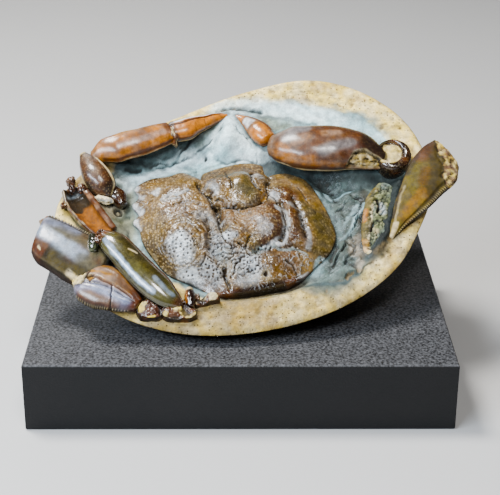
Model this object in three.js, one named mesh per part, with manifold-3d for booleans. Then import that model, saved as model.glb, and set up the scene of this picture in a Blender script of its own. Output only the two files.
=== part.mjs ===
// A fossil crab lying in the split face of its stone nodule, on a black stone plinth.
// Millimetres, +Z up. The origin is the middle of the plinth's underside, +X is to the
// right and -Y is the front, from which the crab is looked at.
//
// The nodule's split face is tilted back from the level. Everything on it is drawn in
// face coordinates: u to the right, v up the slope, w straight out of the face, with
// w = 0 at the rim. The crab's shell and limbs are cut to the stone that they lie on.
import * as THREE from 'three';
import Module from 'manifold-3d';

const wasm = await Module();
wasm.setup();
const { Manifold, Mesh } = wasm;

// ---------------------------------------------------------------- driving dimensions
const PLINTH = { width: 210, depth: 160, height: 36, bevel: 0.8 };
const FACE_TILT = THREE.MathUtils.degToRad(32);
const FACE_CENTRE = new THREE.Vector3(4.7, 4.6, 85.4);
const GAP = 0.4;                     // clearance between pieces that touch

const REST = { x: 6, y: 15.5, radius: 25 }; // the flat spot, under the centre of mass
const RIM_ROUND = { reach: 4, drop: 2.2 };  // how the rim of the face is worn round
const BENCH = { reach: 26, depth: 2.5 };    // the gentle hollow inside the rim
const POOL = {                              // the deep hollow that the shell lies in
  centre: [-5, -5],
  depth: 8.5,
  inner: 0.8,
  outer: 1.12,
  // its reach from the centre, at even steps of angle anticlockwise from +u
  reach: [63, 58, 38, 41, 46, 61, 67, 58, 52, 50, 53, 61],
};
const SHELL = {
  middle: new THREE.Vector3(-8, -12, 0),
  edge: -6.3,
  lip: 1.6,
  crown: 9.5,
  roundness: 2.3,    // the dome's exponent: more is flatter on top
  floor: -14,
  edgeSharpness: 5,  // exponent with which the spines and notches fade inwards
  reliefFade: 6,     // exponent with which the relief fades out towards the edge
  // shares of the way from the middle to the edge
  skirt: 0.97,
  rings: [0.985, 0.94, 0.87, 0.78, 0.68, 0.57, 0.45, 0.32, 0.18, 0.06],
};
const NODULE = {
  underCurve: 2.1,   // exponent of the underside's rise from the flat spot to the rim
  underRings: [0, 0.25, 0.5, 0.72, 0.9, 1],
  faceRings: [0.985, 0.95, 0.9, 0.84, 0.77, 0.69, 0.61, 0.52, 0.41, 0.25, 0.08],
  reliefFrom: 1,     // distances in from the rim between which the relief fades in
  reliefTo: 8,
};

const NODULE_SIDES = 60;
const SHELL_SIDES = 72;
const SHELL_SPREAD = 5;              // neighbours on each side in the outline's running mean
const LIMB_SIDES = 12;
const STUB_SIDES = 8;
const WRIST_SIDES = 22;
const RINGS_PER_STATION = 1.5;
const LIMB_SPAN = 0.3;               // share of a limb's length over which its direction is taken
const SLANT_REACH = 0.35;            // share of a limb's length over which a slanted end fades
const POOL_STEPS = 10;               // curve points for each value of the pool's reach

// -------------------------------------------------------------------------- outlines
const RIM_POINTS = [
  [-101, -8], [-97, 8], [-81, 29], [-58, 48], [-34, 61.5], [-2, 77], [33, 86], [59, 79.5],
  [82, 61], [93.5, 38], [96, 9], [87, -17], [74, -39.5], [49, -60.5], [14, -74.5],
  [-25, -78.5], [-57, -71], [-83, -54], [-98, -31],
];

// the carapace, from its front left corner clockwise as seen; the left side has three
// spines and the front has a notch on each side of the middle lobe
const SHELL_POINTS = [
  [-61, 13.5], [-53, 20], [-43, 22], [-36, 24.5], [-30, 22], [-26.5, 16.5], [-25, 23],
  [-20, 26], [-10, 29.5], [-1, 31], [7, 29], [10.2, 22.5], [15, 24.5], [22, 23.5], [30, 19.5],
  [38, 6], [43, -7], [45, -17], [42, -26], [33, -37], [24, -45.5], [8, -50.5], [-10, -54],
  [-18, -53.5], [-29, -46.5], [-41, -41], [-50, -30], [-55.5, -20], [-57.2, -13], [-60.5, -8],
  [-58, -3.5], [-61.5, 2.5], [-58.4, 8],
];

// ---------------------------------------------------------------------------- relief
// round lumps: [u, v, reach along u, reach along v, height]
const STONE_LUMPS = [
  [-10, 54, 9, 10, 3.5], [-12, 40, 6, 9, 4.5],           // ridge down from the claw tips
  [22, 36, 16, 9, 3], [48, 33, 20, 9, 3.5],              // bed of the right claw
  [-62, 33, 18, 6, 1.5], [-30, 46, 12, 5, 3],            // bed of the left claw
  [-84, -18, 12, 16, 1.2], [-62, -58, 16, 9, 1.5],       // bed of the left legs
  [52, 9, 5, 5, 3.5], [48, -6, 4, 7, 3], [56, -16, 4, 5, 3.5], [50, -30, 6, 5, 3],
  [66, -8, 7, 18, 2], [84, 2, 9, 12, 1.5],               // bed of the right legs
  [-30, -60, 9, 5, 1.5], [20, -60, 22, 6, 1.2], [60, 60, 18, 8, 0.8],
];
// grooves: [depth, width, points along it]
const STONE_GROOVES = [
  [3.5, 5, [[-74, 20], [-50, 30], [-26, 39]]],           // under the left claw
  [3.5, 6, [[34, 15], [54, 14], [74, 16]]],              // under the right claw
  [2, 3, [[58, 6], [55, -14], [52, -34]]],
  [2.6, 5, [[-91, 5], [-84, -7], [-76, -17]]],           // under the hollow leg
];
const SHELL_LUMPS = [
  [-4, 15, 8, 9, 3.6], [-19, 14, 7, 7, 3], [6, 14, 5, 6, 1.5],   // front lobe
  [-32, 14, 8, 7, 2.2], [-45, 7, 10, 9, 1], [22, 10, 9, 9, 2.4], // front side lobes
  [-34, -26, 15, 14, 4.2], [-44, -8, 10, 8, 1.2],                // left rear lobe
  [8.7, -14.8, 11, 11, 3.6], [-8, -23, 8, 7, 2],                 // middle lobes
  [34, -10, 10, 18, 2.2], [23, -9, 4, 10, 1.5], [11, -40, 10, 10, 3.2],
  [-15, -44, 9, 8, 1.5], [30, -34, 9, 7, 1.2],
];
const SHELL_GROOVES = [
  [3.4, 2.4, [[-26, 11], [-21, 4], [-16.5, -6], [-14, -18]]],
  [2.6, 2, [[-18, -3.5], [-1, -4.5], [6, -0.5], [10.2, 8], [10.5, 18]]],
  [2.6, 2, [[16.3, -1], [19.5, -16], [14, -27], [2, -31]]],
  [1.8, 2, [[22.6, 3], [27, -9], [29, -20]]],
  [2.4, 2.6, [[-21, -14], [-20, -30], [-13, -41], [-13, -51]]],
  [1.6, 2, [[4, -31], [24, -28], [36, -29]]],
];

// ----------------------------------------------------------------------------- limbs
// each limb is a row of stations: [u, v, w, half width across, half thickness]
const LIMBS = {
  left_claw_palm: [
    [-82.4, 28.2, 3, 3.5, 3], [-77.6, 30.9, 4, 6.4, 5.2], [-71.2, 32, 4.6, 7.9, 6.3],
    [-65.3, 34.4, 4.6, 8.1, 6.4], [-57.6, 36.9, 4.4, 7.9, 6.2], [-50.3, 40.5, 4, 7.4, 5.8],
    [-43.4, 43.7, 3.6, 6.4, 5],
  ],
  left_claw_finger: [
    [-40.6, 45, 3, 6.3, 4.8], [-33.8, 46.9, 3, 6.6, 5], [-28.4, 50.2, 2.4, 5.3, 4.2],
    [-22.7, 53.2, 1.6, 4.1, 3.4], [-17.3, 56.1, 0.8, 2.8, 2.6], [-12, 58.2, 0, 1.5, 1.6],
  ],
  left_claw_wrist: [
    [-88, 29.5, 2.6, 2.1, 2], [-84.9, 23.6, 3.4, 5, 4.4], [-81.1, 16, 3.8, 6.8, 5.8],
    [-77.5, 10.9, 2.8, 6.9, 5.8], [-74.6, 7.3, 1.4, 5.6, 4.8], [-73.4, 4.6, 0.4, 2.4, 2],
  ],
  left_claw_arm: [[-72, 11, -3, 3.1, 3], [-69, 5.8, -3.4, 5, 4.4], [-66.4, 1.8, -4, 2.9, 3]],
  right_claw_palm: [
    [12.6, 36.6, 1.6, 6.6, 5.4], [16.5, 35.5, 2.6, 9.1, 7.2], [22, 35.1, 3.4, 11.5, 8.6],
    [28.9, 33.6, 4, 12.8, 9.4], [37.7, 33.2, 4.2, 13.4, 9.8], [46, 33, 4.2, 13.2, 9.6],
    [53.8, 32.6, 3.8, 12, 8.8], [61, 31, 3.4, 10.4, 7.8], [66.4, 28.4, 2.8, 8, 6.4],
    [70.4, 26.4, 2.2, 5.4, 5],
  ],
  right_claw_finger: [
    [-6.8, 58, 0, 1.2, 1.4], [-4.2, 56.6, 0, 2.2, 2], [-0.6, 53.7, 0.4, 3.4, 3.2],
    [3.2, 49.7, 0.8, 5.1, 4.4], [7.1, 44.8, 1.2, 5.9, 5], [9.6, 41, 1.6, 5.2, 4.4],
  ],
  right_leg: [
    [104.6, 28, 6, 10.6, 4.4], [101.2, 22.6, 6, 12.9, 5.2], [96.4, 15.8, 6, 12.9, 5.2],
    [91, 8.2, 5.6, 11.2, 4.8], [85.6, -0.6, 4.8, 9, 4], [80.8, -7.6, 3.8, 6.8, 3.4],
    [76.6, -14.2, 2.2, 3.9, 2.6], [72.4, -21.6, 0, 1.6, 1.4],
  ],
  right_leg_base: [
    [72, 11, -1.4, 4.3, 3.4], [68.4, 2.5, -1.6, 6.6, 4.4], [66.4, -6.1, -1.8, 7, 4.6],
    [65, -14.6, -2, 6.8, 4.4], [63.6, -23, -2.6, 5.8, 4], [62, -31, -3.4, 3, 2.6],
  ],
  left_leg_3: [
    [-73.8, -27.2, 8.6, 4.2, 3.6], [-69.2, -31, 8.8, 6.5, 4.8], [-63.8, -36.3, 8.6, 7.1, 5.2],
    [-57.3, -44.5, 7.6, 7.6, 5.4], [-50.3, -52.2, 6.2, 8, 5.4], [-44.4, -57, 4.8, 7.4, 5],
    [-39.2, -61.5, 3.6, 5.4, 4], [-34.6, -64.3, 2.8, 2.6, 2.4],
  ],
  left_leg_4: [
    [-86.8, -50.4, 4, 3.4, 2.4], [-83.6, -52.6, 4.2, 7.7, 4], [-78.8, -53.1, 4.2, 11.4, 5.2],
    [-73.1, -54.5, 4.2, 12.8, 5.6], [-68, -56.6, 4.2, 11.9, 5.4], [-63.4, -60, 4, 9.1, 4.8],
    [-59.2, -62.4, 3.6, 6.8, 4], [-55.7, -64.3, 3.2, 4.4, 3],
  ],
  left_leg_2: [
    [-108.6, -22.6, 3.4, 7.4, 4.4], [-106, -24.2, 3.4, 11.8, 6], [-100.5, -28, 3.4, 12.9, 6.6],
    [-92.2, -33.1, 3.2, 13.3, 6.8], [-85.4, -37.5, 2.8, 13.8, 6.8], [-79.2, -40.6, 2.2, 13.4, 6.4],
    [-74.2, -42, 1.6, 11.4, 5.6],
  ],
  left_leg_joint: [[-79.4, -27, 8.6, 2, 2.4], [-78.4, -31.2, 8.8, 2.8, 3.2], [-77.6, -35.4, 7.4, 1.8, 2.4]],
  rear_leg_stub_1: [[-54, -67.2, 0.4, 2.4, 3], [-49.6, -67.6, 0.6, 3.6, 3.6], [-45, -68.6, 0.4, 2.8, 3.2]],
  rear_leg_stub_2: [[-30.2, -54.8, 1.4, 2.2, 3], [-29.8, -59.4, 1.8, 2.9, 3.6], [-29.4, -63.8, 1.2, 2.2, 3]],
  rear_leg_stub_3: [[-42, -68, 0.4, 2.4, 3.2], [-34.8, -68.8, 0.6, 3, 3.6], [-28.6, -68.6, 0.4, 2.4, 3.2]],
  rear_leg_stub_4: [[-26.2, -62, 0, 2.2, 3], [-22.4, -59.8, 0.2, 2.5, 3.2], [-18.6, -58.2, 0, 1.8, 2.6]],
};
// the broken ends of two legs are slanted: degrees that their first section is turned by
const END_SLANT = { right_leg: -22, left_leg_2: 20 };
// the hollow leg is an open trough: its hollow is the same form, narrower and raised
const TROUGH = {
  wall: 1.7,
  rise: 3.4,
  endWall: 1.6,
  stations: [
    [-92, 7.6, 1.6, 6.4, 5], [-88.3, -0.1, 1.8, 7.8, 5.6], [-83.6, -7.1, 1.8, 7.8, 5.6],
    [-77.7, -14.6, 1.6, 7, 5.2], [-72.4, -20.6, 1.2, 6, 4.6],
  ],
};
// the right wrist is a ring of shell around a stone core:
// [share of the radius, height, shift towards the upper left]
const WRIST = {
  centre: [76.6, 29],
  radii: [10, 10.6],
  outerRings: 5,
  profile: [[0.86, -7, 0], [1, -2, 0], [0.99, 2.5, 0], [0.88, 5, 0], [0.72, 5.6, 0.6],
    [0.58, 4, 1.4], [0.52, 3, 1.6]],
};

// --------------------------------------------------------------------------- colours
const COLOURS = {
  plinth: [0x1c1c1d, 0.8], nodule: [0xaea98d, 0.85], carapace: [0x6d4b30, 0.35],
  orange: [0xa8621f, 0.3], brown: [0x4a2a1c, 0.25], olive: [0x5d5428, 0.25],
  infill: [0x77796a, 0.8],
};
const LIMB_COLOUR = {
  left_claw_palm: 'orange', left_claw_finger: 'orange', right_claw_finger: 'orange',
  left_leg_1: 'orange', right_leg_base: 'infill', right_leg: 'olive', left_leg_2: 'olive',
  left_leg_3: 'olive',
};

// --------------------------------------------------------------------------- helpers
const { clamp, lerp, smoothstep } = THREE.MathUtils;

function closedCurve(points) {
  const corners = points.map(([u, v]) => new THREE.Vector3(u, v, 0));
  return new THREE.CatmullRomCurve3(corners, true, 'centripetal');
}

// a closed solid from a stack of rings with equal counts, each end closed by a fan
function ringStack(rings) {
  const sides = rings[0].length;
  const positions = rings.flat().flatMap((p) => [p.x, p.y, p.z]);
  const triangles = [];
  for (let k = 0; k + 1 < rings.length; k += 1) {
    for (let i = 0; i < sides; i += 1) {
      const a = k * sides + i;
      const b = k * sides + (i + 1) % sides;
      triangles.push(a, b, b + sides, a, b + sides, a + sides);
    }
  }
  const addFan = (ring, first, flip) => {
    const middle = ring.reduce((sum, p) => sum.add(p), new THREE.Vector3());
    middle.divideScalar(sides);
    const apex = positions.length / 3;
    positions.push(middle.x, middle.y, middle.z);
    for (let i = 0; i < sides; i += 1) {
      const a = first + i;
      const b = first + (i + 1) % sides;
      triangles.push(...(flip ? [apex, b, a] : [apex, a, b]));
    }
  };
  addFan(rings[0], 0, true);
  addFan(rings.at(-1), (rings.length - 1) * sides, false);
  return new Manifold(new Mesh({
    numProp: 3,
    vertProperties: new Float32Array(positions),
    triVerts: new Uint32Array(triangles),
  }));
}

function lumpHeight(lumps, u, v) {
  return lumps.reduce((sum, [lu, lv, ru, rv, height]) => (
    sum + height * Math.exp(-(((u - lu) / ru) ** 2) - ((v - lv) / rv) ** 2)), 0);
}

function distanceToLine(points, u, v) {
  let best = Infinity;
  for (let i = 0; i + 1 < points.length; i += 1) {
    const [au, av] = points[i];
    const [bu, bv] = points[i + 1];
    const along = ((u - au) * (bu - au) + (v - av) * (bv - av)) / ((bu - au) ** 2 + (bv - av) ** 2);
    const t = clamp(along, 0, 1);
    best = Math.min(best, Math.hypot(u - lerp(au, bu, t), v - lerp(av, bv, t)));
  }
  return best;
}

function grooveDepth(grooves, u, v) {
  return grooves.reduce((sum, [depth, width, points]) => (
    sum + depth * Math.exp(-((distanceToLine(points, u, v) / width) ** 2))), 0);
}

// ---------------------------------------------------------------------------- nodule
const poolReach = (() => {
  const turns = POOL.reach.length;
  const ring = closedCurve(POOL.reach.map((r, i) => {
    const angle = (i / turns) * 2 * Math.PI;
    return [r * Math.cos(angle), r * Math.sin(angle)];
  })).getPoints(POOL_STEPS * turns);
  return (angle) => {
    const place = Math.round(((angle / (2 * Math.PI) + 1) % 1) * POOL_STEPS * turns);
    const { x, y } = ring[place % (POOL_STEPS * turns)];
    return Math.hypot(x, y);
  };
})();

// height of the stone's face at (u, v), a given distance in from the rim
function stoneHeight(u, v, fromRim) {
  const worn = RIM_ROUND.drop * (1 - clamp(fromRim / RIM_ROUND.reach, 0, 1)) ** 2;
  const bench = BENCH.depth * smoothstep(fromRim, 0, BENCH.reach);
  const du = u - POOL.centre[0];
  const dv = v - POOL.centre[1];
  const share = Math.hypot(du, dv) / poolReach(Math.atan2(dv, du));
  const pool = POOL.depth * (1 - smoothstep(share, POOL.inner, POOL.outer));
  const inside = smoothstep(fromRim, NODULE.reliefFrom, NODULE.reliefTo);
  const relief = lumpHeight(STONE_LUMPS, u, v) - grooveDepth(STONE_GROOVES, u, v);
  return -worn - bench - pool + inside * relief;
}

const OUTWARD = new THREE.Vector3(0, 0, 1);   // straight out of the face, in face coordinates
const face = new THREE.Group();
face.position.copy(FACE_CENTRE);
face.rotation.x = FACE_TILT;
face.updateMatrixWorld(true);

function noduleSolid(grow = 0) {
  const rim = closedCurve(RIM_POINTS).getSpacedPoints(NODULE_SIDES).slice(0, -1).reverse();
  const base = PLINTH.height + GAP - grow;
  const rings = [];
  for (const t of NODULE.underRings) {
    rings.push(rim.map((p) => {
      const edge = face.localToWorld(p.clone().setLength(p.length() + grow).setZ(-RIM_ROUND.drop));
      const toEdge = new THREE.Vector2(edge.x - REST.x, edge.y - REST.y);
      const spot = toEdge.clone().setLength(REST.radius);
      const flat = toEdge.lerp(spot, 1 - t);
      const rise = (edge.z - base) * t ** NODULE.underCurve;
      return face.worldToLocal(new THREE.Vector3(REST.x + flat.x, REST.y + flat.y, base + rise));
    }));
  }
  for (const share of NODULE.faceRings) {
    rings.push(rim.map((p) => {
      const reach = p.length();
      const radius = share * (reach + grow);
      const spot = p.clone().setLength(radius);
      return spot.setZ(stoneHeight(spot.x, spot.y, reach * (1 - share)) + grow);
    }));
  }
  return ringStack(rings);
}

// -------------------------------------------------------------------------- carapace
function shellHeight(u, v, share) {
  const dome = SHELL.crown * (1 - share ** SHELL.roundness);
  const relief = lumpHeight(SHELL_LUMPS, u, v) - grooveDepth(SHELL_GROOVES, u, v);
  return SHELL.edge + dome + relief * (1 - share ** SHELL.reliefFade);
}

function shellSolid(grow = 0) {
  const { middle, edge, lip, floor, skirt, rings, edgeSharpness } = SHELL;
  const outline = closedCurve(SHELL_POINTS).getSpacedPoints(SHELL_SIDES).slice(0, -1).reverse();
  const reaches = outline.map((p) => p.distanceTo(middle));
  // the spines and notches fade inwards, into the outline's running mean
  const means = reaches.map((_, i) => {
    const near = Array.from({ length: 2 * SHELL_SPREAD + 1 }, (__, k) => (
      reaches.at((i + k - SHELL_SPREAD) % SHELL_SIDES)));
    return near.reduce((sum, reach) => sum + reach) / near.length;
  });
  const ringAt = (share, height) => outline.map((p, i) => {
    const reach = lerp(means[i], reaches[i], share ** edgeSharpness) + grow;
    const spot = p.clone().sub(middle).setLength(share * reach).add(middle);
    return spot.setZ(height === undefined ? shellHeight(spot.x, spot.y, share) + grow : height);
  });
  return ringStack([
    ringAt(skirt, floor), ringAt(1, edge - lip - grow), ...rings.map((share) => ringAt(share)),
  ]);
}

// ----------------------------------------------------------------------------- limbs
// where a limb's section at t sits: its centre, its own directions and its half sizes
function limbFrame(stations, t, slant) {
  const path = new THREE.CatmullRomCurve3(stations.map(([u, v, w]) => new THREE.Vector3(u, v, w)));
  const sizes = new THREE.CatmullRomCurve3(stations.map(([, , , a, b]) => new THREE.Vector3(a, b, 0)));
  // the direction over a long stretch, so that wide sections never cross each other
  const ahead = path.getPoint(Math.min(t + LIMB_SPAN, 1));
  const along = ahead.sub(path.getPoint(Math.max(t - LIMB_SPAN, 0))).setZ(0).normalize();
  const turn = THREE.MathUtils.degToRad(slant) * (1 - smoothstep(t, 0, SLANT_REACH));
  const across = new THREE.Vector3(-along.y, along.x, 0).applyAxisAngle(OUTWARD, turn);
  return { centre: path.getPoint(t), along, across, size: sizes.getPoint(t) };
}

function limbSolid(stations, grow = 0, slant = 0) {
  const steps = Math.round(RINGS_PER_STATION * (stations.length - 1));
  const sides = stations.length > 3 ? LIMB_SIDES : STUB_SIDES;
  const rings = [];
  for (let k = 0; k <= steps; k += 1) {
    const { centre, along, across, size } = limbFrame(stations, k / steps, slant);
    if (k === 0) centre.addScaledVector(along, -2 * grow);
    if (k === steps) centre.addScaledVector(along, 2 * grow);
    rings.push(Array.from({ length: sides }, (_, i) => {
      const angle = (i / sides) * 2 * Math.PI;
      const side = Math.cos(angle) * (size.x + grow);
      const up = Math.sin(angle) * (size.y + grow);
      return centre.clone().addScaledVector(across, side).addScaledVector(OUTWARD, up);
    }));
  }
  return ringStack(rings);
}

function troughSolid(grow = 0) {
  const { wall, rise, endWall, stations } = TROUGH;
  const hollow = stations.map(([u, v, w, a, b]) => [u, v, w + rise, a - wall - grow, b - grow]);
  const shift = (station, du, dv) => [station[0] + du, station[1] + dv, ...station.slice(2)];
  hollow[0] = shift(hollow[0], -endWall, 2 * endWall);
  hollow.push(shift(hollow.pop(), -endWall, endWall));
  return limbSolid(stations, grow).subtract(limbSolid(hollow));
}

function wristSolid(grow = 0) {
  const { centre: [cu, cv], radii: [ru, rv], profile, outerRings } = WRIST;
  const rings = grow > 0 ? profile.slice(0, outerRings) : profile;   // grown, it has no hollow
  return ringStack(rings.map(([share, height, shift], k) => (
    Array.from({ length: WRIST_SIDES }, (_, i) => {
      const angle = (i / WRIST_SIDES) * 2 * Math.PI;
      const u = cu - shift + Math.cos(angle) * (share * ru + grow);
      const v = cv + shift + Math.sin(angle) * (share * rv + grow);
      return new THREE.Vector3(u, v, height + (k === 0 ? -grow : grow));
    }))));
}

// ---------------------------------------------------------------------------- plinth
function plinthGeometry() {
  const { width, depth, height, bevel } = PLINTH;
  const outline = new THREE.Shape([
    new THREE.Vector2(-width / 2 + bevel, -depth / 2 + bevel),
    new THREE.Vector2(width / 2 - bevel, -depth / 2 + bevel),
    new THREE.Vector2(width / 2 - bevel, depth / 2 - bevel),
    new THREE.Vector2(-width / 2 + bevel, depth / 2 - bevel),
  ]);
  const block = new THREE.ExtrudeGeometry(outline, {
    depth: height - 2 * bevel, bevelThickness: bevel, bevelSize: bevel, bevelSegments: 1, steps: 1,
  });
  return block.translate(0, 0, bevel);
}

// -------------------------------------------------------------------------- assembly
function material(name) {
  const [color, roughness] = COLOURS[name];
  return new THREE.MeshStandardMaterial({ color, roughness, metalness: 0 });
}

function toGeometry(solid) {
  const mesh = solid.getMesh();
  const geometry = new THREE.BufferGeometry();
  geometry.setAttribute('position', new THREE.BufferAttribute(mesh.vertProperties, 3));
  geometry.setIndex(new THREE.BufferAttribute(mesh.triVerts, 1));
  return geometry;
}

// the largest body of a cut solid, without the slivers that a cut leaves
function largestBody(solid) {
  return solid.decompose().reduce((best, body) => (body.volume() > best.volume() ? body : best));
}

const builders = new Map([['carapace', shellSolid]]);
builders.set('right_claw_wrist', wristSolid);
for (const [name, stations] of Object.entries(LIMBS)) {
  builders.set(name, (grow) => limbSolid(stations, grow, END_SLANT[name]));
}
builders.set('left_leg_1', troughSolid);

const crab = new THREE.Group();
const plinth = new THREE.Mesh(plinthGeometry(), material('plinth'));
plinth.name = 'plinth';
crab.add(plinth, face);

const nodule = new THREE.Mesh(toGeometry(noduleSolid()), material('nodule'));
nodule.name = 'nodule';
face.add(nodule);

// each piece is cut by the stone and by the pieces before it, grown by the gap
const cutters = [noduleSolid(GAP)];
for (const [name, build] of builders) {
  const solid = cutters.reduce((rest, cutter) => rest.subtract(cutter), build(0));
  const piece = new THREE.Mesh(toGeometry(largestBody(solid)), null);
  piece.material = material(name === 'carapace' ? name : LIMB_COLOUR[name] ?? 'brown');
  piece.name = name;
  face.add(piece);
  cutters.push(build(GAP));
}

export default crab;
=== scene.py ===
"""Looks for the fossil crab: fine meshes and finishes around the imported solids.

The crab lies in the tilted face of its nodule. Its pieces are drawn in face coordinates in
millimetres: u to the right, v up the slope, w straight out of the face, w = 0 at the rim.
to_part() takes them to the frame's metres.
"""
import itertools
import math
from types import SimpleNamespace

import bpy
import numpy as np
from mathutils import Matrix, Vector


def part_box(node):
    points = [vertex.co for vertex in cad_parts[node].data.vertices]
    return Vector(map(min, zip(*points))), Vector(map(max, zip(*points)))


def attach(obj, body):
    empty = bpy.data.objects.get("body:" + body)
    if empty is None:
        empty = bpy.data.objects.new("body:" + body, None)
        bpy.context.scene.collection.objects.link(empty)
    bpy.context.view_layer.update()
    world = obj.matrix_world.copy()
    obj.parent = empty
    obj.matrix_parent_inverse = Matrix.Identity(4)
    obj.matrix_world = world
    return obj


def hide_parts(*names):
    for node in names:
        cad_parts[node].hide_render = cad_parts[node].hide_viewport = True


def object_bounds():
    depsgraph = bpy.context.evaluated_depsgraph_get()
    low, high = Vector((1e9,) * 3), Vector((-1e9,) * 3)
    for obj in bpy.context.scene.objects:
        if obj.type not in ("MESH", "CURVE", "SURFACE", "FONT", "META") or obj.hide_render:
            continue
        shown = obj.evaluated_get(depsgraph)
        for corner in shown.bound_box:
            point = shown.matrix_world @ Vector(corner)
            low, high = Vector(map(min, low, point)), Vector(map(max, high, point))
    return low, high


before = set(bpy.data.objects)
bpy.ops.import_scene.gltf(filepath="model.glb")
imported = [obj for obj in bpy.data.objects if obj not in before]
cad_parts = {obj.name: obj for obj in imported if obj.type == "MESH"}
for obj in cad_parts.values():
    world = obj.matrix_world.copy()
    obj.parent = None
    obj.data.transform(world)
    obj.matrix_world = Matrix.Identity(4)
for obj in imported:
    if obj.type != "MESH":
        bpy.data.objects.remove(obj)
cad_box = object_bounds()

# ------------------------------------------------------------------ driving dimensions
MM = 0.001
FACE_TILT = math.radians(32)
FACE_CENTRE = (4.7, 4.6, 85.4)
PLINTH_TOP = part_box("plinth")[1][2] / MM

REST_SPOT = np.array([6, 15.5])      # the flat spot that the nodule lies on, and its radius
REST_RADIUS = 25
REST_LIFT = 0.4
TOP_MARGIN = 0.1                     # the stone ends this far below the top of the solids' box
NODULE_SIDES, FACE_RINGS, BOWL_RINGS = 600, 112, 46
FACE_INWARD = 0.66                   # how far in the face's rings go, as a share of the way
BOWL_MIDDLE = 90                     # the height that the bowl's lumps are pushed out from
RIM_REACH, RIM_DROP = 4, 2.2
BENCH_REACH, BENCH_DEPTH = 26, 2.5
POOL_CENTRE = np.array([-5, -5])
POOL_DEPTH, POOL_INNER, POOL_OUTER = 8.5, 0.8, 1.12
POOL_REACH = [63, 58, 38, 41, 46, 61, 67, 58, 52, 50, 53, 61]
# how far the cream weathering reaches in from the rim, at even steps of angle from +u
CREAM_REACH = [9, 14, 18, 11, 8, 8, 9, 12, 18, 24, 21, 13]

SHELL_SIDES, SHELL_RINGS = 720, 128
SHELL_MIDDLE = np.array([-8, -12])
SHELL_EDGE, SHELL_LIP, SHELL_CROWN, SHELL_ROUNDNESS, SHELL_FLOOR = -6.3, 1.6, 9.5, 2.3, -14
BANK_LEVEL, BANK_REACH = -7.3, 6     # the stone banks up against the shell's edge
CONTACT_SHADE_REACH = 1.8                    # painted shade darkens the stone around each limb
REAR_WALL = 3.4                      # the shell's rear edge stands up over a ditch in the stone
REAR_DITCH, DITCH_WIDTH = 2.2, 3.5
# pale paints on the shell also bring wear to its wrinkles, and are laid on at this strength
PALE = {"worn white and sheen", "worn grey and sheen", "blue", "blue pale", "pink tan", "bone"}
PALE_STRENGTH = 0.8

RIM_POINTS = [
    (-101, -8), (-97, 8), (-81, 29), (-58, 48), (-34, 61.5), (-2, 77), (33, 86), (59, 79.5), (82, 61),
    (93.5, 38), (96, 9), (87, -17), (74, -39.5), (49, -60.5), (14, -74.5), (-25, -78.5), (-57, -71),
    (-83, -54), (-98, -31),
]
SHELL_POINTS = [
    (-61, 13.5), (-53, 20), (-43, 22), (-36, 24.5), (-30, 22), (-26.5, 16.5), (-25, 23), (-20, 26),
    (-10, 29.5), (-1, 31), (7, 29), (10.2, 22.5), (15, 24.5), (22, 23.5), (30, 19.5), (38, 6), (43, -7),
    (45, -17), (42, -26), (33, -37), (24, -45.5), (8, -50.5), (-10, -54), (-18, -53.5), (-29, -46.5),
    (-41, -41), (-50, -30), (-55.5, -20), (-57.2, -13), (-60.5, -8), (-58, -3.5), (-61.5, 2.5), (-58.4, 8),
]

# round lumps: (u, v, reach along u, reach along v, height)
STONE_LUMPS = [
    (-10, 54, 9, 10, 3.5), (-12, 40, 6, 9, 4.5), (22, 36, 16, 9, 3), (48, 33, 20, 9, 3.5),
    (-62, 33, 18, 6, 1.5), (-30, 46, 12, 5, 3), (-84, -18, 12, 16, 1.2), (-62, -58, 16, 9, 1.5),
    (52, 9, 5, 5, 3.5), (48, -6, 4, 7, 3), (56, -16, 4, 5, 3.5), (50, -30, 6, 5, 3), (66, -8, 7, 18, 2),
    (84, 2, 9, 12, 1.5), (-30, -60, 9, 5, 1.5), (20, -60, 22, 6, 1.2), (60, 60, 18, 8, 0.8),
]
# grooves: (depth, width, points along it)
STONE_GROOVES = [
    (3.5, 5, [(-74, 20), (-50, 30), (-26, 39)]), (3.5, 6, [(34, 15), (54, 14), (74, 16)]),
    (2, 3, [(58, 6), (55, -14), (52, -34)]), (2.6, 5, [(-91, 5), (-84, -7), (-76, -17)]),
]
SHELL_LUMPS = [
    (-4, 15, 8, 9, 4.4), (-19, 14, 7, 7, 3), (6, 14, 5, 6, 1.5), (-32, 14, 8, 7, 2.2), (-45, 7, 10, 9, 1),
    (22, 10, 9, 9, 2.4), (-35, -25, 15, 14, 5.2), (-44, -8, 10, 8, 1.2), (8.7, -14.8, 11, 11, 4.4),
    (-8, -23, 8, 7, 2), (34, -10, 10, 18, 2.2), (23, -9, 4, 10, 1.5), (11, -40, 10, 10, 3.2),
    (-15, -44, 9, 8, 1.5), (30, -34, 9, 7, 1.2),
]
SHELL_GROOVES = [
    (3.4, 2.4, [(-26, 11), (-21, 4), (-16.5, -6), (-14, -18)]),
    (2.6, 2, [(-18, -3.5), (-1, -4.5), (6, -0.5), (10.2, 8), (10.5, 18)]),
    (2.4, 2, [(16.3, -1), (19.5, -16), (16.5, -23)]), (1.2, 2, [(16, -24), (2, -31)]),
    (1.8, 2, [(22.6, 3), (27, -9), (29, -20)]),
    (2.4, 2.6, [(-21, -14), (-20, -30), (-13, -41), (-13, -51)]),
    (1.6, 2, [(4, -31), (24, -28), (36, -29)]),
]

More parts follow.
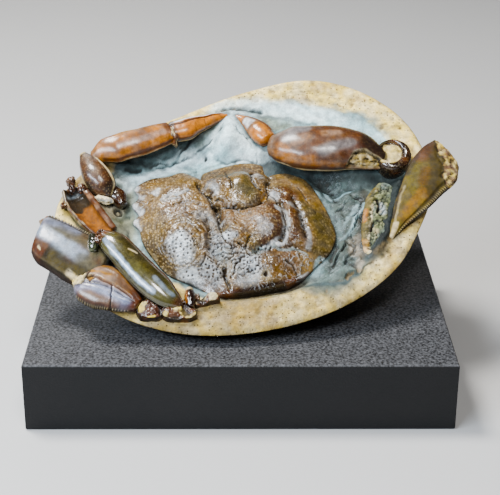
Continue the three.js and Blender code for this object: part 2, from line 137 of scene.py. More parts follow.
# limbs: rows of (u, v, w, half width across, half thickness)
LIMBS = {
    "left_claw_palm": [
        (-82.4, 28.2, 3, 3.5, 3), (-77.6, 30.9, 4, 6.4, 5.2), (-71.2, 32, 4.6, 7.9, 6.3),
        (-65.3, 34.4, 4.6, 8.1, 6.4), (-57.6, 36.9, 4.4, 7.9, 6.2), (-50.3, 40.5, 4, 7.4, 5.8),
        (-43.4, 43.7, 3.6, 6.4, 5)],
    "left_claw_finger": [
        (-40.6, 45, 3, 6.3, 4.8), (-33.8, 46.9, 3, 6.6, 5), (-28.4, 50.2, 2.4, 5.3, 4.2),
        (-22.7, 53.2, 1.6, 4.1, 3.4), (-17.3, 56.1, 0.8, 2.8, 2.6), (-12, 58.2, 0, 1.5, 1.6)],
    "left_claw_wrist": [
        (-88, 29.5, 2.6, 2.1, 2), (-84.9, 23.6, 3.4, 5, 4.4), (-81.1, 16, 3.8, 6.8, 5.8),
        (-77.5, 10.9, 2.8, 6.9, 5.8), (-74.6, 7.3, 1.4, 5.6, 4.8), (-73.4, 4.6, 0.4, 2.4, 2)],
    "left_claw_arm": [(-72, 11, -3, 3.1, 3), (-69, 5.8, -3.4, 5, 4.4), (-66.4, 1.8, -4, 2.9, 3)],
    "right_claw_palm": [
        (12.6, 36.6, 1.6, 6.6, 5.4), (16.5, 35.5, 2.6, 9.1, 7.2), (22, 35.1, 3.4, 11.5, 8.6),
        (28.9, 33.6, 4, 12.8, 9.4), (37.7, 33.2, 4.2, 13.4, 9.8), (46, 33, 4.2, 13.2, 9.6),
        (53.8, 32.6, 3.8, 12, 8.8), (61, 31, 3.4, 10.4, 7.8), (66.4, 28.4, 2.8, 8, 6.4),
        (70.4, 26.4, 2.2, 5.4, 5)],
    "right_claw_finger": [
        (-6.8, 58, 0, 1.2, 1.4), (-4.2, 56.6, 0, 2.2, 2), (-0.6, 53.7, 0.4, 3.4, 3.2),
        (3.2, 49.7, 0.8, 5.1, 4.4), (7.1, 44.8, 1.2, 5.9, 5), (9.6, 41, 1.6, 5.2, 4.4)],
    "right_leg": [
        (104.6, 28, 6, 10.6, 4.4), (101.2, 22.6, 6, 12.9, 5.2), (96.4, 15.8, 6, 12.9, 5.2),
        (91, 8.2, 5.6, 11.2, 4.8), (85.6, -0.6, 4.8, 9, 4), (80.8, -7.6, 3.8, 6.8, 3.4),
        (76.6, -14.2, 2.2, 3.9, 2.6), (72.4, -21.6, 0, 1.6, 1.4)],
    "right_leg_base": [
        (72, 11, -1.4, 4.3, 3.4), (68.4, 2.5, -1.6, 6.6, 4.4), (66.4, -6.1, -1.8, 7, 4.6),
        (65, -14.6, -2, 6.8, 4.4), (63.6, -23, -2.6, 5.8, 4), (62, -31, -3.4, 3, 2.6)],
    "left_leg_3": [
        (-73.8, -27.2, 8.6, 4.2, 3.6), (-69.2, -31, 8.8, 6.5, 4.8), (-63.7, -36.9, 8.6, 7.2, 5.2),
        (-57.3, -44.5, 7.6, 7.6, 5.4), (-50.5, -51.7, 6.2, 7.9, 5.4), (-44.4, -57, 4.8, 7.4, 5),
        (-39.2, -61.5, 3.6, 5.4, 4), (-34.6, -64.3, 2.8, 2.6, 2.4)],
    "left_leg_4": [
        (-86.8, -50.4, 4, 3.4, 2.4), (-83.6, -52.6, 4.2, 7.7, 4), (-78.8, -53.1, 4.2, 11.4, 5.2),
        (-73.1, -54.5, 4.2, 12.8, 5.6), (-68, -56.6, 4.2, 11.9, 5.4), (-63.4, -60, 4, 9.1, 4.8),
        (-59.2, -62.4, 3.6, 6.8, 4), (-55.7, -64.3, 3.2, 4.4, 3)],
    "left_leg_2": [
        (-107.1, -22.7, 3.4, 10.7, 5), (-105.7, -24.1, 3.4, 12, 6), (-100.5, -28, 3.4, 12.9, 6.6),
        (-92.2, -33.1, 3.2, 13.3, 6.8), (-85.4, -37.5, 2.8, 13.8, 6.8), (-79.2, -40.6, 2.2, 13.4, 6.4),
        (-74.2, -42, 1.6, 11.4, 5.6)],
    "left_leg_joint": [
        (-79.4, -27, 8.6, 2, 2.4), (-78.4, -31.2, 8.8, 2.8, 3.2), (-77.6, -35.4, 7.4, 1.8, 2.4)],
    "rear_leg_stub_2": [
        (-30.2, -54.8, 1.4, 2.2, 3), (-29.8, -59.4, 1.8, 2.9, 3.6), (-29.4, -63.8, 1.2, 2.2, 3)],
}
# the broken ends of two legs are slanted: degrees that their first section is turned by
END_SLANT = {"right_leg": -22, "left_leg_2": 22}
SLANT_REACH = 0.35                   # over this share of the length
PLAIN_SECTION = [1] * 12
STEPS_PER_STATION, LEAST_RINGS = 24, 14
TROUGH_STEPS, TROUGH_LOOK = 30, 16   # rings a station, and rings each way for its heading
HEADING_REACH = 0.25                 # a limb's heading is taken over this share of it each way
CAP_SHARES = np.array([0.2, 0.42, 0.62, 0.78, 0.9, 0.97])     # sizes of the rings that close an end
TROUGH = [
    (-92, 7.6, 1.6, 6.4, 5), (-88.3, -0.1, 1.8, 7.8, 5.6), (-83.6, -7.1, 1.8, 7.8, 5.6),
    (-77.7, -14.6, 1.6, 7, 5.2), (-72.4, -20.6, 1.2, 6, 4.6),
]
TROUGH_WALL, TROUGH_RIGHT_WALL, TROUGH_RISE = 1.3, 2.2, 3.4
TROUGH_HALF = 64                     # points along each of its two skins
# where the skins run, as angles round the section: pi is its left edge and 2 pi its right
OUTER_SPAN = (math.pi - 0.36, 2 * math.pi + 0.42)
INNER_SPAN = (2 * math.pi - 0.16, math.pi + 0.16)
# points round a ring of each kind of piece, and a loose bit's rings from bottom to top
SLAB_SIDES, WRIST_SIDES, BIT_SIDES, BIT_RINGS = 120, 170, 48, 30
BIT_POLE = 0.08                      # how far short of its poles a bit's rings end, in radians
WRIST_CENTRE, WRIST_RADII = np.array([76.6, 29]), np.array([10, 10.6])
# the outline of the stone core that shows in the ring
WRIST_CORE = [
    (70.6, 33.4), (72.6, 36), (76, 36.6), (79.4, 34.6), (81.4, 31), (81, 27), (79, 24), (75.6, 22.2),
    (71.6, 22.2), (69.4, 23.6), (71.4, 25.6), (70.6, 29.4),
]
# the ring's section: (share of the radius, height, shift to the upper left)
WRIST_PROFILE = [
    (0.86, -7, 0), (0.97, -4, 0), (1, -1, 0), (1, 2, 0), (0.97, 3.9, 0), (0.88, 5.2, 0), (0.78, 5.7, 0.4),
    (0.68, 5.2, 0.9), (0.61, 4.2, 1.3), (0.56, 3.4, 1.5), (0.3, 3.9, 1.6),
]


# ----------------------------------------------------------------------------- colours
def srgb(code):
    """Linear red, green and blue from a hex code."""
    values = np.array([int(code[i:i + 2], 16) / 255 for i in (0, 2, 4)])
    return np.where(values < 0.04045, values / 12.92, ((values + 0.055) / 1.055) ** 2.4)


PALETTE = {name: srgb(code) for name, code in {
    "cream": "d2b972", "buff": "a98f55", "cream dirt and shade": "665536", "pit shade": "2c2214", "blue": "6f8688",
    "blue pale": "a6c6ca", "blue dark": "2f3b3c", "blue black": "141918", "slate": "4a5855",
    "floor green": "64634a", "pink stone": "8d8270", "paddle gold": "524519", "leg olive": "4e4a2c",
    "shell brown": "573d1e", "shell tan": "85683a", "painted glow": "c4d8da", "shell dark": "150d06",
    "pink tan": "7a583c", "worn white and sheen": "e8f1f6", "worn grey and sheen": "8a949a", "olive": "4a401f",
    "olive dark": "1f190a", "olive grey": "4c4632", "olive green": "4b4820", "gold": "9a6c1c",
    "orange": "ac6622", "orange tan": "ac703a", "amber": "b86c0c", "trough amber": "7c4600",
    "brown": "50301c", "brown grey": "6a523e", "red brown": "42200f", "dark brown": "1c0f08",
    "near black": "0a0603", "painted lilac sheen": "8490b4", "painted blue highlight": "b6cdea", "pink beige": "9c7a60",
    "bone": "cdba90", "infill": "585c40", "matrix green": "343d38", "green black": "1b2216",
    "black": "030202",
}.items()}


def tint(name):
    """A named colour's numbers; a colour that is given as numbers stays as it is."""
    return PALETTE[name] if isinstance(name, str) else name


def mix(first, second, share):
    """Blend two colours, named or for each point, by a share from 0 to 1 for each point."""
    share = np.clip(share, 0, 1)[:, None]
    return tint(first) * (1 - share) + tint(second) * share


def layered(colours, *layers):
    """Colours with more laid over them in turn, each as (colour, share)."""
    for colour, share in layers:
        colours = mix(colours, colour, share)
    return colours


# ------------------------------------------------------------------------------- noise
def hashed(cells, seed):
    """A repeatable number from 0 to 1 for each whole-numbered cell."""
    x, y, z = (cells[:, k].astype(np.uint32) for k in range(3))
    h = x * np.uint32(374761393) + y * np.uint32(668265263) + z * np.uint32(2246822519)
    h = h + np.uint32(seed * 3266489917 % 2**32)
    h = (h ^ (h >> np.uint32(13))) * np.uint32(1274126177)
    h = (h ^ (h >> np.uint32(15))) * np.uint32(2654435761)
    return (h ^ (h >> np.uint32(16))) / 2**32


def noise(points, scale, seed=0):
    """Smooth noise from -1 to 1 whose lumps are about `scale` across."""
    place = points / scale
    cell = np.floor(place).astype(np.int64)
    part = place - cell
    part = part * part * (3 - 2 * part)
    total = np.zeros(len(points))
    for corner in itertools.product((0, 1), repeat=3):
        weight = np.prod(np.where(corner, part, 1 - part), axis=1)
        total += weight * hashed(cell + np.array(corner), seed)
    return 2 * total - 1


def fractal(points, scale, octaves=3, seed=0):
    """Noise with finer layers on top, each half the size and half the height."""
    layers = [noise(points, scale / 2**k, seed + k) / 2**k for k in range(octaves)]
    return sum(layers)


def cells(points, size, seed=0):
    """Nearest of scattered spots about `size` apart: its distance in mm and a number from -1
    to 1 of its own."""
    place = points[:, :2] / size
    cell = np.floor(place).astype(np.int64)
    best, own = np.full(len(points), 9.0), np.zeros(len(points))
    for step in itertools.product((-1, 0, 1), repeat=2):
        near = cell + np.array(step)
        key = np.column_stack((near, np.zeros(len(near), dtype=np.int64)))
        first, second = hashed(key, seed), hashed(key, seed + 7)
        away = place - near - 0.15 - 0.7 * np.column_stack((first, second))
        distance = np.linalg.norm(away, axis=1)
        closer = distance < best
        best[closer] = distance[closer]
        own[closer] = 2 * hashed(key, seed + 13)[closer] - 1
    return best * size, own


def creases(points, scale, octaves=3, seed=0):
    """From 0 in sharp creases up to 1 between them."""
    return np.abs(fractal(points, scale, octaves, seed)) ** 0.7


def name_seed(name):
    """A seed of a piece's own."""
    return sum(map(ord, name)) % 97


# ------------------------------------------------------------------------------ shapes
def smooth(value, low, high):
    """0 below low, 1 above high, and a smooth step between."""
    share = np.clip((value - low) / (high - low), 0, 1)
    return share * share * (3 - 2 * share)


def spline(points, per_span, closed=False):
    """Centripetal Catmull-Rom curve through rows of numbers, at even steps of each span."""
    rows = np.array(points, dtype=float)
    if closed:
        rows = np.vstack((rows[-1], rows, rows[:2]))
    else:
        rows = np.vstack((2 * rows[0] - rows[1], rows, 2 * rows[-1] - rows[-2]))
    space = min(3, rows.shape[1])
    steps = np.linalg.norm(np.diff(rows[:, :space], axis=0), axis=1) ** 0.5
    t = np.linspace(0, 1, per_span, endpoint=False)[:, None]
    spans = []
    for k in range(1, len(rows) - 2):
        before, start, end, after = rows[k - 1:k + 3]
        d0, d1, d2 = steps[k - 1:k + 2]
        out = ((start - before) / d0 - (end - before) / (d0 + d1)) * d1 + (end - start)
        into = (end - start) - ((after - start) / (d1 + d2) - (after - end) / d2) * d1
        spans.append(start + out * t + (3 * (end - start) - 2 * out - into) * t**2
                     + (2 * (start - end) + out + into) * t**3)
    if not closed:
        spans.append(rows[-2:-1])
    return np.vstack(spans)


def closed_outline(points, count):
    """A closed curve through the points, as `count` evenly spaced points, anticlockwise."""
    dense = spline(points, 60, closed=True)
    loop = np.vstack((dense, dense[:1]))
    along = np.concatenate(([0], np.cumsum(np.linalg.norm(np.diff(loop, axis=0), axis=1))))
    places = np.linspace(0, along[-1], count, endpoint=False)
    ring = np.column_stack([np.interp(places, along, loop[:, k]) for k in range(2)])
    return ring[::-1]


def patchy(points, scale, octaves, seed, low, high):
    """Soft-edged patches of noise: 0 where it is below low and 1 where it is above high."""
    return smooth(fractal(points, scale, octaves, seed), low, high)


def around(values, angle):
    """A value for each angle, smoothly through values given at even steps of the turn."""
    values = np.array(values, dtype=float)
    place = np.mod(angle / (2 * math.pi), 1) * len(values)
    index = place.astype(int) % len(values)
    before, start, end, after = (values[(index + k) % len(values)] for k in (-1, 0, 1, 2))
    t = place - np.floor(place)
    return 0.5 * (2 * start + (end - before) * t + (2 * before - 5 * start + 4 * end - after) * t**2
                  + (3 * start - before - 3 * end + after) * t**3)


def lump_height(lumps, u, v):
    """Height of all the lumps together."""
    return sum(h * np.exp(-((u - lu) / ru) ** 2 - ((v - lv) / rv) ** 2) for lu, lv, ru, rv, h in lumps)


def line_distance(points, u, v):
    """Distance from each point to a bent line, or to a single spot."""
    if len(points) == 1:
        return np.hypot(u - points[0][0], v - points[0][1])
    best = np.full(np.shape(u), np.inf)
    for (au, av), (bu, bv) in zip(points, points[1:]):
        along = ((u - au) * (bu - au) + (v - av) * (bv - av)) / ((bu - au) ** 2 + (bv - av) ** 2)
        along = np.clip(along, 0, 1)
        best = np.minimum(best, np.hypot(u - au - along * (bu - au), v - av - along * (bv - av)))
    return best


def groove_depth(grooves, u, v):
    """Depth of all the grooves together."""
    return sum(d * np.exp(-(line_distance(points, u, v) / width) ** 2) for d, width, points in grooves)


def brush(points, u, v, width):
    """1 along a line and 0 away from it, with a soft edge at `width`."""
    return np.exp(-(line_distance(points, u, v) / width) ** 4)


def inside(outline, u, v):
    """Distance in from a closed outline, below 0 outside it."""
    loop = list(outline) + [outline[0]]
    odd = np.zeros(np.shape(u), dtype=bool)
    for (au, av), (bu, bv) in zip(loop, loop[1:]):
        if av != bv:
            odd ^= ((v > av) != (v > bv)) & (u < au + (v - av) * (bu - au) / (bv - av))
    return np.where(odd, 1, -1) * line_distance(loop, u, v)


def ridge(line, u, v, width):
    """1 on a line, falling away to both sides."""
    return np.exp(-(line_distance(line, u, v) / width) ** 2)


def wandering(points, amount, scale, seed=0):
    """u and v moved about by noise, so that painted edges aren't straight."""
    return (points[:, 0] + amount * fractal(points, scale, 3, seed),
            points[:, 1] + amount * fractal(points, scale, 3, seed + 50))


def paint_strokes(colours, gloss, strokes, u, v):
    """Paint strokes of (colour, gloss, strength, width, line) over colours and gloss."""
    for colour, shine, strength, width, line in strokes:
        share = strength * brush(line, u, v, width)
        colours = mix(colours, colour, share)
        gloss = gloss * (1 - share) + shine * share
    return colours, gloss


def standing(height, reach):
    """How far each point of a grid of rings stands above the ground around it."""
    padded = np.concatenate((height[:1].repeat(reach, axis=0), height, height[-1:].repeat(reach, axis=0)))
    level = np.mean([padded[k:k + len(height)] for k in range(2 * reach + 1)], axis=0)
    level = np.mean([np.roll(level, k, axis=1) for k in range(-reach, reach + 1)], axis=0)
    return (height - level).ravel()


def to_part(points):
    """Face coordinates in mm to the frame's metres."""
    u, v, w = points.T
    c, s = math.cos(FACE_TILT), math.sin(FACE_TILT)
    x, y, z = FACE_CENTRE
    return np.column_stack((x + u, y + v * c - w * s, z + v * s + w * c)) * MM


def to_face(points):
    """The part's millimetres to face coordinates."""
    x, y, z = (points - np.array(FACE_CENTRE)).T
    c, s = math.cos(FACE_TILT), math.sin(FACE_TILT)
    return np.column_stack((x, y * c + z * s, z * c - y * s))


# ------------------------------------------------------------------------------ meshes
def ring_quads(rings, sides):
    """Quads between rings of equal counts."""
    index = np.arange(rings * sides).reshape(rings, sides)
    ahead = np.roll(index, -1, axis=1)
    return np.stack((index[:-1], ahead[:-1], ahead[1:], index[1:]), axis=-1).reshape(-1, 4)


def ring_faces(rings, sides):
    """Quads between rings of equal counts, and a fan to a point beyond each end."""
    quads = ring_quads(rings, sides)
    index = np.arange(rings * sides).reshape(rings, sides)
    ahead = np.roll(index, -1, axis=1)
    first, last = rings * sides, rings * sides + 1
    start = np.stack((np.full(sides, first), ahead[0], index[0]), axis=-1)
    end = np.stack((np.full(sides, last), index[-1], ahead[-1]), axis=-1)
    return quads, np.vstack((start, end))


def mesh_object(name, points, faces, colours, traits):
    """A smooth-shaded object whose points carry a paint colour and three traits from 0 to 1:
    its gloss, how granular it is and how much pale wear lies on its wrinkles."""
    mesh = bpy.data.meshes.new(name)
    sizes = np.concatenate([np.full(len(part), part.shape[1]) for part in faces])
    corners = np.concatenate([part.ravel() for part in faces])
    starts = np.concatenate(([0], np.cumsum(sizes)[:-1]))
    mesh.vertices.add(len(points))
    mesh.vertices.foreach_set("co", points.astype(np.float32).ravel())
    mesh.loops.add(len(corners))
    mesh.loops.foreach_set("vertex_index", corners.astype(np.int32))
    mesh.polygons.add(len(sizes))
    mesh.polygons.foreach_set("loop_start", starts.astype(np.int32))
    mesh.polygons.foreach_set("use_smooth", np.ones(len(sizes), dtype=bool))
    mesh.update(calc_edges=True)
    mesh.validate()
    opaque = np.column_stack((colours, np.ones(len(points))))
    paint = mesh.color_attributes.new("paint", "FLOAT_COLOR", "POINT")
    paint.data.foreach_set("color", opaque.astype(np.float32).ravel())
    kinds = mesh.attributes.new("traits", "FLOAT_VECTOR", "POINT")
    kinds.data.foreach_set("vector", np.clip(traits, 0, 1).astype(np.float32).ravel())
    obj = bpy.data.objects.new(name, mesh)
    bpy.context.collection.objects.link(obj)
    return obj


def ring_object(name, rings, colours, traits):
    """An object from an array of rings, closed by a fan at each end."""
    count, sides, _ = rings.shape
    points = np.vstack((rings.reshape(-1, 3), rings[0].mean(axis=0), rings[-1].mean(axis=0)))
    looks = np.column_stack((colours, traits))
    looks = np.vstack((looks, looks[:sides].mean(axis=0), looks[-sides:].mean(axis=0)))
    return mesh_object(name, to_part(points), ring_faces(count, sides), looks[:, :3], looks[:, 3:])


def trait_columns(gloss, granular=0.0, wear=0.0):
    """The three traits side by side, a row for each point."""
    return np.column_stack(np.broadcast_arrays(gloss, granular, wear))


# ------------------------------------------------------------------------- limb looks
# lines on the limbs that are both painted and cut or raised
LEG_4_CRACK = [(-81.8, -51.7), (-78, -50.3), (-73.1, -53.2), (-68.2, -55.9), (-63.4, -58.7), (-58.5, -62.4)]
LEG_4_SPLIT = [(-68.3, -55.8), (-68.3, -63.6), (-68.9, -67.3)]
LEG_4_BREAK = [(-79.4, -46.9), (-81.9, -52.5), (-83.3, -55.3)]
LEG_2_NICK = [(-90.4, -47.3), (-87.9, -49.2)]
BASE_CLEFT = [(66.2, 0.9), (67.2, -3), (66.6, -6)]
BASE_HOLE = [(62.8, -13.5), (61.9, -17)]
BASE_LOW_HOLE = [(66.3, -24.3), (66, -27)]
FINGER_CRACK = [(-23.8, 52), (-23, 46)]

# bands along a limb: (colour, gloss, strength, angle, half width in degrees, from, to), where
#   angle 0 is the limb's left side as it runs from its first station, 90 its top, 180 its right
# strokes: (colour, gloss, strength, width, line)
# relief: (height, angle, half width, from, to); lines: (height, width, line)
# teeth: (angle, half width, from, to, pitch, height)
# patches of broken shell: (outline, colours, gloss, depth, roughness)
# base: (colour, second colour, how much of it); section: radii at even steps of the angle
# lumps, granular and crumbly say how lumpy, granular and crumbly the whole limb is
LIMB_LOOKS = {
    "left_claw_palm": dict(
        base=("orange tan", "brown", 0.6), gloss=0.8, lumps=0.08,
        section=[1, 1, 1.05, 0.98, 0.93, 0.95, 1.01, 1, 1, 1, 1, 1],
        bands=[
            ("dark brown", 0.6, 0.95, 4, 14, 0, 1), ("brown grey", 0.7, 0.85, 40, 26, 0.45, 1),
            # the worn grey band along the palm's lower side is a painted sheen
            ("brown", 0.6, 0.7, 24, 8, 0.05, 1), ("worn grey and sheen", 0.9, 0.3, 110, 18, 0.3, 1),
            ("red brown", 0.8, 0.9, 172, 12, 0.1, 1), ("bone", 0.2, 0.9, 194, 8, 0.02, 1),
            ("brown grey", 0.5, 0.8, 90, 95, 0, 0.05), ("red brown", 0.7, 0.8, 60, 60, 0.95, 1)],
        strokes=[
            ("brown grey", 0.6, 0.6, 2.2, [(-74, 37), (-64, 41), (-56, 44)]),
            ("brown", 0.7, 0.5, 1.6, [(-62, 36), (-57, 38), (-52, 41)]),
            ("gold", 0.8, 0.4, 1.2, [(-70, 37.4), (-63, 40.2), (-59, 41.8)])],
        relief=[(0.3, 60, 9, 0.1, 1), (-0.3, 28, 7, 0, 1), (0.35, 186, 5, 0.02, 1)]),
    "left_claw_finger": dict(
        base=("orange", "amber", 0.6), section=[1, 1, 0.98, 0.96, 1.02, 1.04, 1.02, 1, 1, 1, 1, 1],
        bands=[
            ("brown grey", 0.5, 0.95, 36, 27, 0, 1), ("worn white and sheen", 0.3, 0.7, 58, 5, 0.0, 0.9),
            ("red brown", 0.5, 0.9, 70, 4, 0, 0.9), ("brown", 0.8, 0.9, 172, 14, 0, 1),
            ("bone", 0.2, 0.9, 194, 8, 0, 0.9), ("dark brown", 0.7, 0.8, 120, 90, 0, 0.04)],
        strokes=[
            ("brown", 0.6, 0.6, 0.35, FINGER_CRACK),
            ("dark brown", 0.6, 0.35, 0.3, [(-29, 49), (-28, 43)])],
        relief=[(-0.5, 76, 5, 0, 0.9), (0.35, 55, 12, 0, 0.95)],
        lines=[(-0.2, 0.35, FINGER_CRACK)]),
    "left_claw_wrist": dict(
        base=("dark brown", "brown", 0.8), granular=0.5,
        bands=[
            ("bone", 0.3, 0.9, 33, 7, 0.1, 1), ("near black", 0.9, 0.7, 8, 14, 0, 1),
            ("brown", 0.8, 0.5, 120, 30, 0.1, 0.8), ("bone", 0.3, 0.7, 90, 100, 0, 0.03)],
        # painted highlight along the wrist's upper left
        strokes=[("brown grey", 0.9, 0.7, 2.8, [(-86, 25), (-83, 19.5), (-79.5, 14)])],
        relief=[(0.5, 16, 9, 0.1, 1), (-0.5, 36, 6, 0.1, 1)]),
    "left_claw_arm": dict(
        base=("near black", "red brown", 0.8), granular=0.3,
        bands=[("bone", 0.3, 0.6, 215, 10, 0, 1)]),
    "right_claw_palm": dict(
        base=("brown", "brown grey", 0.7), granular=0.12, gloss=0.85, lumps=0.1,
        section=[1, 1, 0.97, 0.95, 0.97, 1, 1.01, 1, 1, 1, 1, 1],
        bands=[
            ("dark brown", 0.8, 0.95, 8, 26, 0, 1), ("red brown", 0.85, 0.9, 38, 20, 0.2, 1),
            ("brown", 0.85, 0.6, 62, 16, 0.3, 1), ("orange tan", 0.5, 0.45, 158, 18, 0.0, 0.4),
            ("orange tan", 0.6, 0.35, 172, 14, 0.35, 0.75), ("red brown", 0.8, 0.85, 182, 9, 0, 0.8),
            ("bone", 0.25, 0.9, 197, 6, 0.05, 0.8), ("dark brown", 0.95, 0.95, 80, 70, 0.78, 1),
            ("brown grey", 0.4, 0.7, 90, 95, 0, 0.03)],
        strokes=[
            # painted highlight on the palm's upper left
            ("worn grey and sheen", 0.7, 0.35, 3.4, [(20, 35), (24, 40), (30, 41)]),
            ("pink beige", 0.6, 0.4, 3, [(24, 32), (31, 34)]),
            ("orange tan", 0.6, 0.5, 3, [(17, 30), (20, 25)]),
            ("brown", 0.8, 0.7, 2.2, [(35, 38), (36, 32), (34, 26)]),
            # painted highlight along the palm's lower middle
            ("worn grey and sheen", 0.95, 0.3, 3.2, [(39, 25.5), (45, 28), (51, 30), (54, 31)]),
            ("pink beige", 0.8, 0.5, 2.5, [(40, 36), (47, 37)]),
            ("red brown", 0.8, 0.7, 2.6, [(50, 22), (54, 25.5), (58, 29)])],
        relief=[(0.2, 200, 6, 0.1, 0.8)],
        patches=[
            ([(46, 14.5), (50.2, 18.6), (53.4, 22.4), (56.6, 26.2), (60, 26.9), (62.6, 26.4), (65, 25.2),
             (68, 24.2), (74, 22.5), (80, 18), (70, 8), (50, 8)], ("buff", "bone"), 0.1, 1.9, 1.1)]),
    "right_claw_finger": dict(
        base=("orange", "amber", 0.6),
        bands=[
            ("brown grey", 0.4, 0.9, 90, 90, 0.2, 0.6), ("worn white and sheen", 0.4, 0.6, 120, 40, 0.25, 0.5),
            ("brown", 0.7, 0.9, 30, 34, 0.3, 0.98), ("bone", 0.2, 0.9, 214, 8, 0, 0.95),
            ("dark brown", 0.6, 0.7, 195, 10, 0.1, 1)],
        strokes=[("red brown", 0.7, 0.6, 1.3, [(1.5, 50)]), ("orange", 0.8, 0.9, 2, [(2.5, 44), (6, 40)])],
        relief=[(0.3, 30, 18, 0.2, 0.9), (-0.25, 52, 6, 0.2, 0.9)]),
    "right_leg": dict(
        base=("paddle gold", "olive", 0.5), gloss=0.3, lumps=0.1,
        section=[1.02, 0.96, 0.9, 0.9, 0.92, 0.97, 1.02, 1, 1, 1, 1, 1],
        teeth=(20, 8, 0.06, 0.95, 1.3, 0.6),
        bands=[("near black", 0.5, 0.95, 2, 14, 0, 1), ("dark brown", 0.5, 0.9, 180, 16, 0, 0.98)],
        strokes=[
            ("brown", 0.4, 0.9, 5.5, [(93, 33), (90.5, 25)]),
            ("dark brown", 0.4, 0.7, 2.4, [(90, 31), (86, 22), (83, 14)]),
            ("dark brown", 0.4, 0.55, 3.6, [(95.5, 31), (98, 19.5), (97, 8), (93, -1)]),
            ("olive green", 0.3, 0.3, 4, [(88.5, 17), (84, 5)]),
            ("brown", 0.3, 0.5, 3, [(92, 14), (90, 7)]),
            ("gold", 0.3, 0.35, 3.2, [(89.5, 0), (84, -6), (79.5, -12)]),
            ("trough amber", 0.4, 0.25, 2, [(89.5, 2), (84.4, -4.6), (81, -9)]),
            ("bone", 0.2, 0.8, 1.1, [(75, -16), (72.4, -22)]),
            ("bone", 0.2, 0.3, 0.6, [(80.4, 5.6), (77.3, -2.6), (75.5, -10.7), (73.8, -17.7),
             (71.9, -22.7)]),
            ("dark brown", 0.4, 0.7, 0.6, [(78.8, 4), (76, -4), (73.8, -12)])],
        relief=[(0.3, 160, 7, 0.1, 0.95), (-0.4, 36, 7, 0.1, 0.9)],
        lines=[(-0.5, 0.8, [(98.5, 31), (98.8, 23), (101, 17), (99.8, 10)])],
        patches=[
            ([(99.4, 36), (98.6, 30.1), (99.3, 23.7), (102.2, 20.5), (100.3, 11.1), (101.9, 5.9), (108, 2),
             (118, 14), (104, 46), (98, 42)], ("brown grey", "cream"), 0.1, 0.5, 0.8)]),
    "right_leg_base": dict(
        base=("infill", "slate", 0.8), gloss=0.3, crumbly=1.5,
        bands=[
            ("paddle gold", 0.6, 0.9, 168, 16, 0, 1), ("olive", 0.2, 0.6, 192, 10, 0, 1),
            ("near black", 0.6, 0.95, 4, 15, 0, 1)],
        strokes=[
            ("paddle gold", 0.6, 0.9, 1.8, [(66, 8), (62.4, 1.7), (60.9, -6.5), (59.8, -14.5),
             (58.6, -21.5)]),
            ("olive green", 0.7, 0.8, 1.6, [(66, 6), (64.4, 1)]),
            ("orange", 0.5, 0.5, 0.9, [(60.6, -5), (59.8, -12)]),
            ("bone", 0.3, 0.6, 0.6, [(63.8, -2), (62.6, -9), (61.4, -17), (60, -24)]),
            ("slate", 0.5, 0.7, 2.2, [(74, 13), (70.5, 9.5)]),
            ("bone", 0.2, 0.6, 1.6, [(59.5, -27.8), (61.4, -31), (65, -30)]),
            # painted shade: near black and black in the cleft and the holes, on this line and the next two
            ("gold", 0.4, 0.7, 1.8, [(58.6, -24), (59.6, -28)]), ("near black", 0.3, 1, 1.0, BASE_CLEFT),
            ("black", 0.2, 1, 1.5, BASE_HOLE), ("near black", 0.2, 1, 1.1, [(70.3, -12.8)]),
            ("near black", 0.2, 1, 1.1, BASE_LOW_HOLE),
            ("worn grey and sheen", 0.3, 0.7, 1.6, [(69, -2), (69.4, -7)]), ("bone", 0.3, 0.5, 1.6, [(65, -19)])],
        relief=[(-1.1, 92, 36, 0.06, 0.96), (0.5, 162, 12, 0, 1)],
        lines=[
            (-1.5, 1, BASE_CLEFT), (-2, 1.3, BASE_HOLE), (-1.2, 1, [(70.3, -12.8)]),
            (-1.4, 1, BASE_LOW_HOLE),
            (0.9, 0.7, [(77, 9), (75.6, 2), (74.6, -6), (72.8, -14), (70, -22), (66, -29)])]),
    "left_leg_2": dict(
        base=("olive grey", "brown", 0.7), gloss=0.9, lumps=0.06,
        section=[1.0, 1.04, 0.98, 0.95, 0.96, 0.99, 1.03, 1, 1, 1, 1, 1],
        teeth=(14, 7, 0.03, 0.97, 1.3, 0.9),
        bands=[
            ("red brown", 0.2, 0.97, 150, 36, 0, 0.35), ("brown", 0.3, 0.7, 112, 12, 0, 0.3),
            ("olive dark", 0.2, 0.97, 142, 38, 0.28, 0.98), ("olive", 0.3, 0.5, 134, 14, 0.35, 0.95),
            ("dark brown", 0.3, 0.95, 184, 22, 0, 1), ("dark brown", 0.6, 0.95, 12, 15, 0, 1)],
        strokes=[
            # painted sheen along the upper edge, and a painted highlight along the middle
            ("painted lilac sheen", 0.9, 0.35, 3, [(-105, -16), (-97, -19), (-88, -24)]),
            ("painted blue highlight", 1, 0.4, 4, [(-106, -23), (-99, -28), (-91, -34), (-85, -38)]),
            ("olive grey", 0.7, 0.6, 3, [(-96, -23), (-88, -28), (-80, -33)]),
            ("olive grey", 0.5, 0.8, 3.6, [(-84, -40), (-79, -44)]), ("bone", 0.3, 0.95, 1.2, LEG_2_NICK),
            ("bone", 0.3, 0.9, 1.2, [(-86.4, -50.4)]),
            ("orange tan", 0.3, 0.9, 1.4, [(-106.5, -14), (-105.4, -12.8)]),
            ("bone", 0.3, 0.9, 0.6, [(-106.4, -32.8), (-105.5, -34.3)]),
            ("pink beige", 0.3, 0.7, 0.8, [(-109.6, -20), (-110, -26)])],
        relief=[(0.5, 150, 7, 0.02, 1), (0.5, 16, 5, 0, 1)],
        lines=[(-0.8, 1, LEG_2_NICK)]),
    "left_leg_3": dict(
        base=("leg olive", "olive dark", 0.5), gloss=1.0, lumps=0.04,
        section=[1, 0.99, 0.98, 0.99, 1.0, 1.0, 1.0, 1, 1, 1, 1, 1],
        bands=[
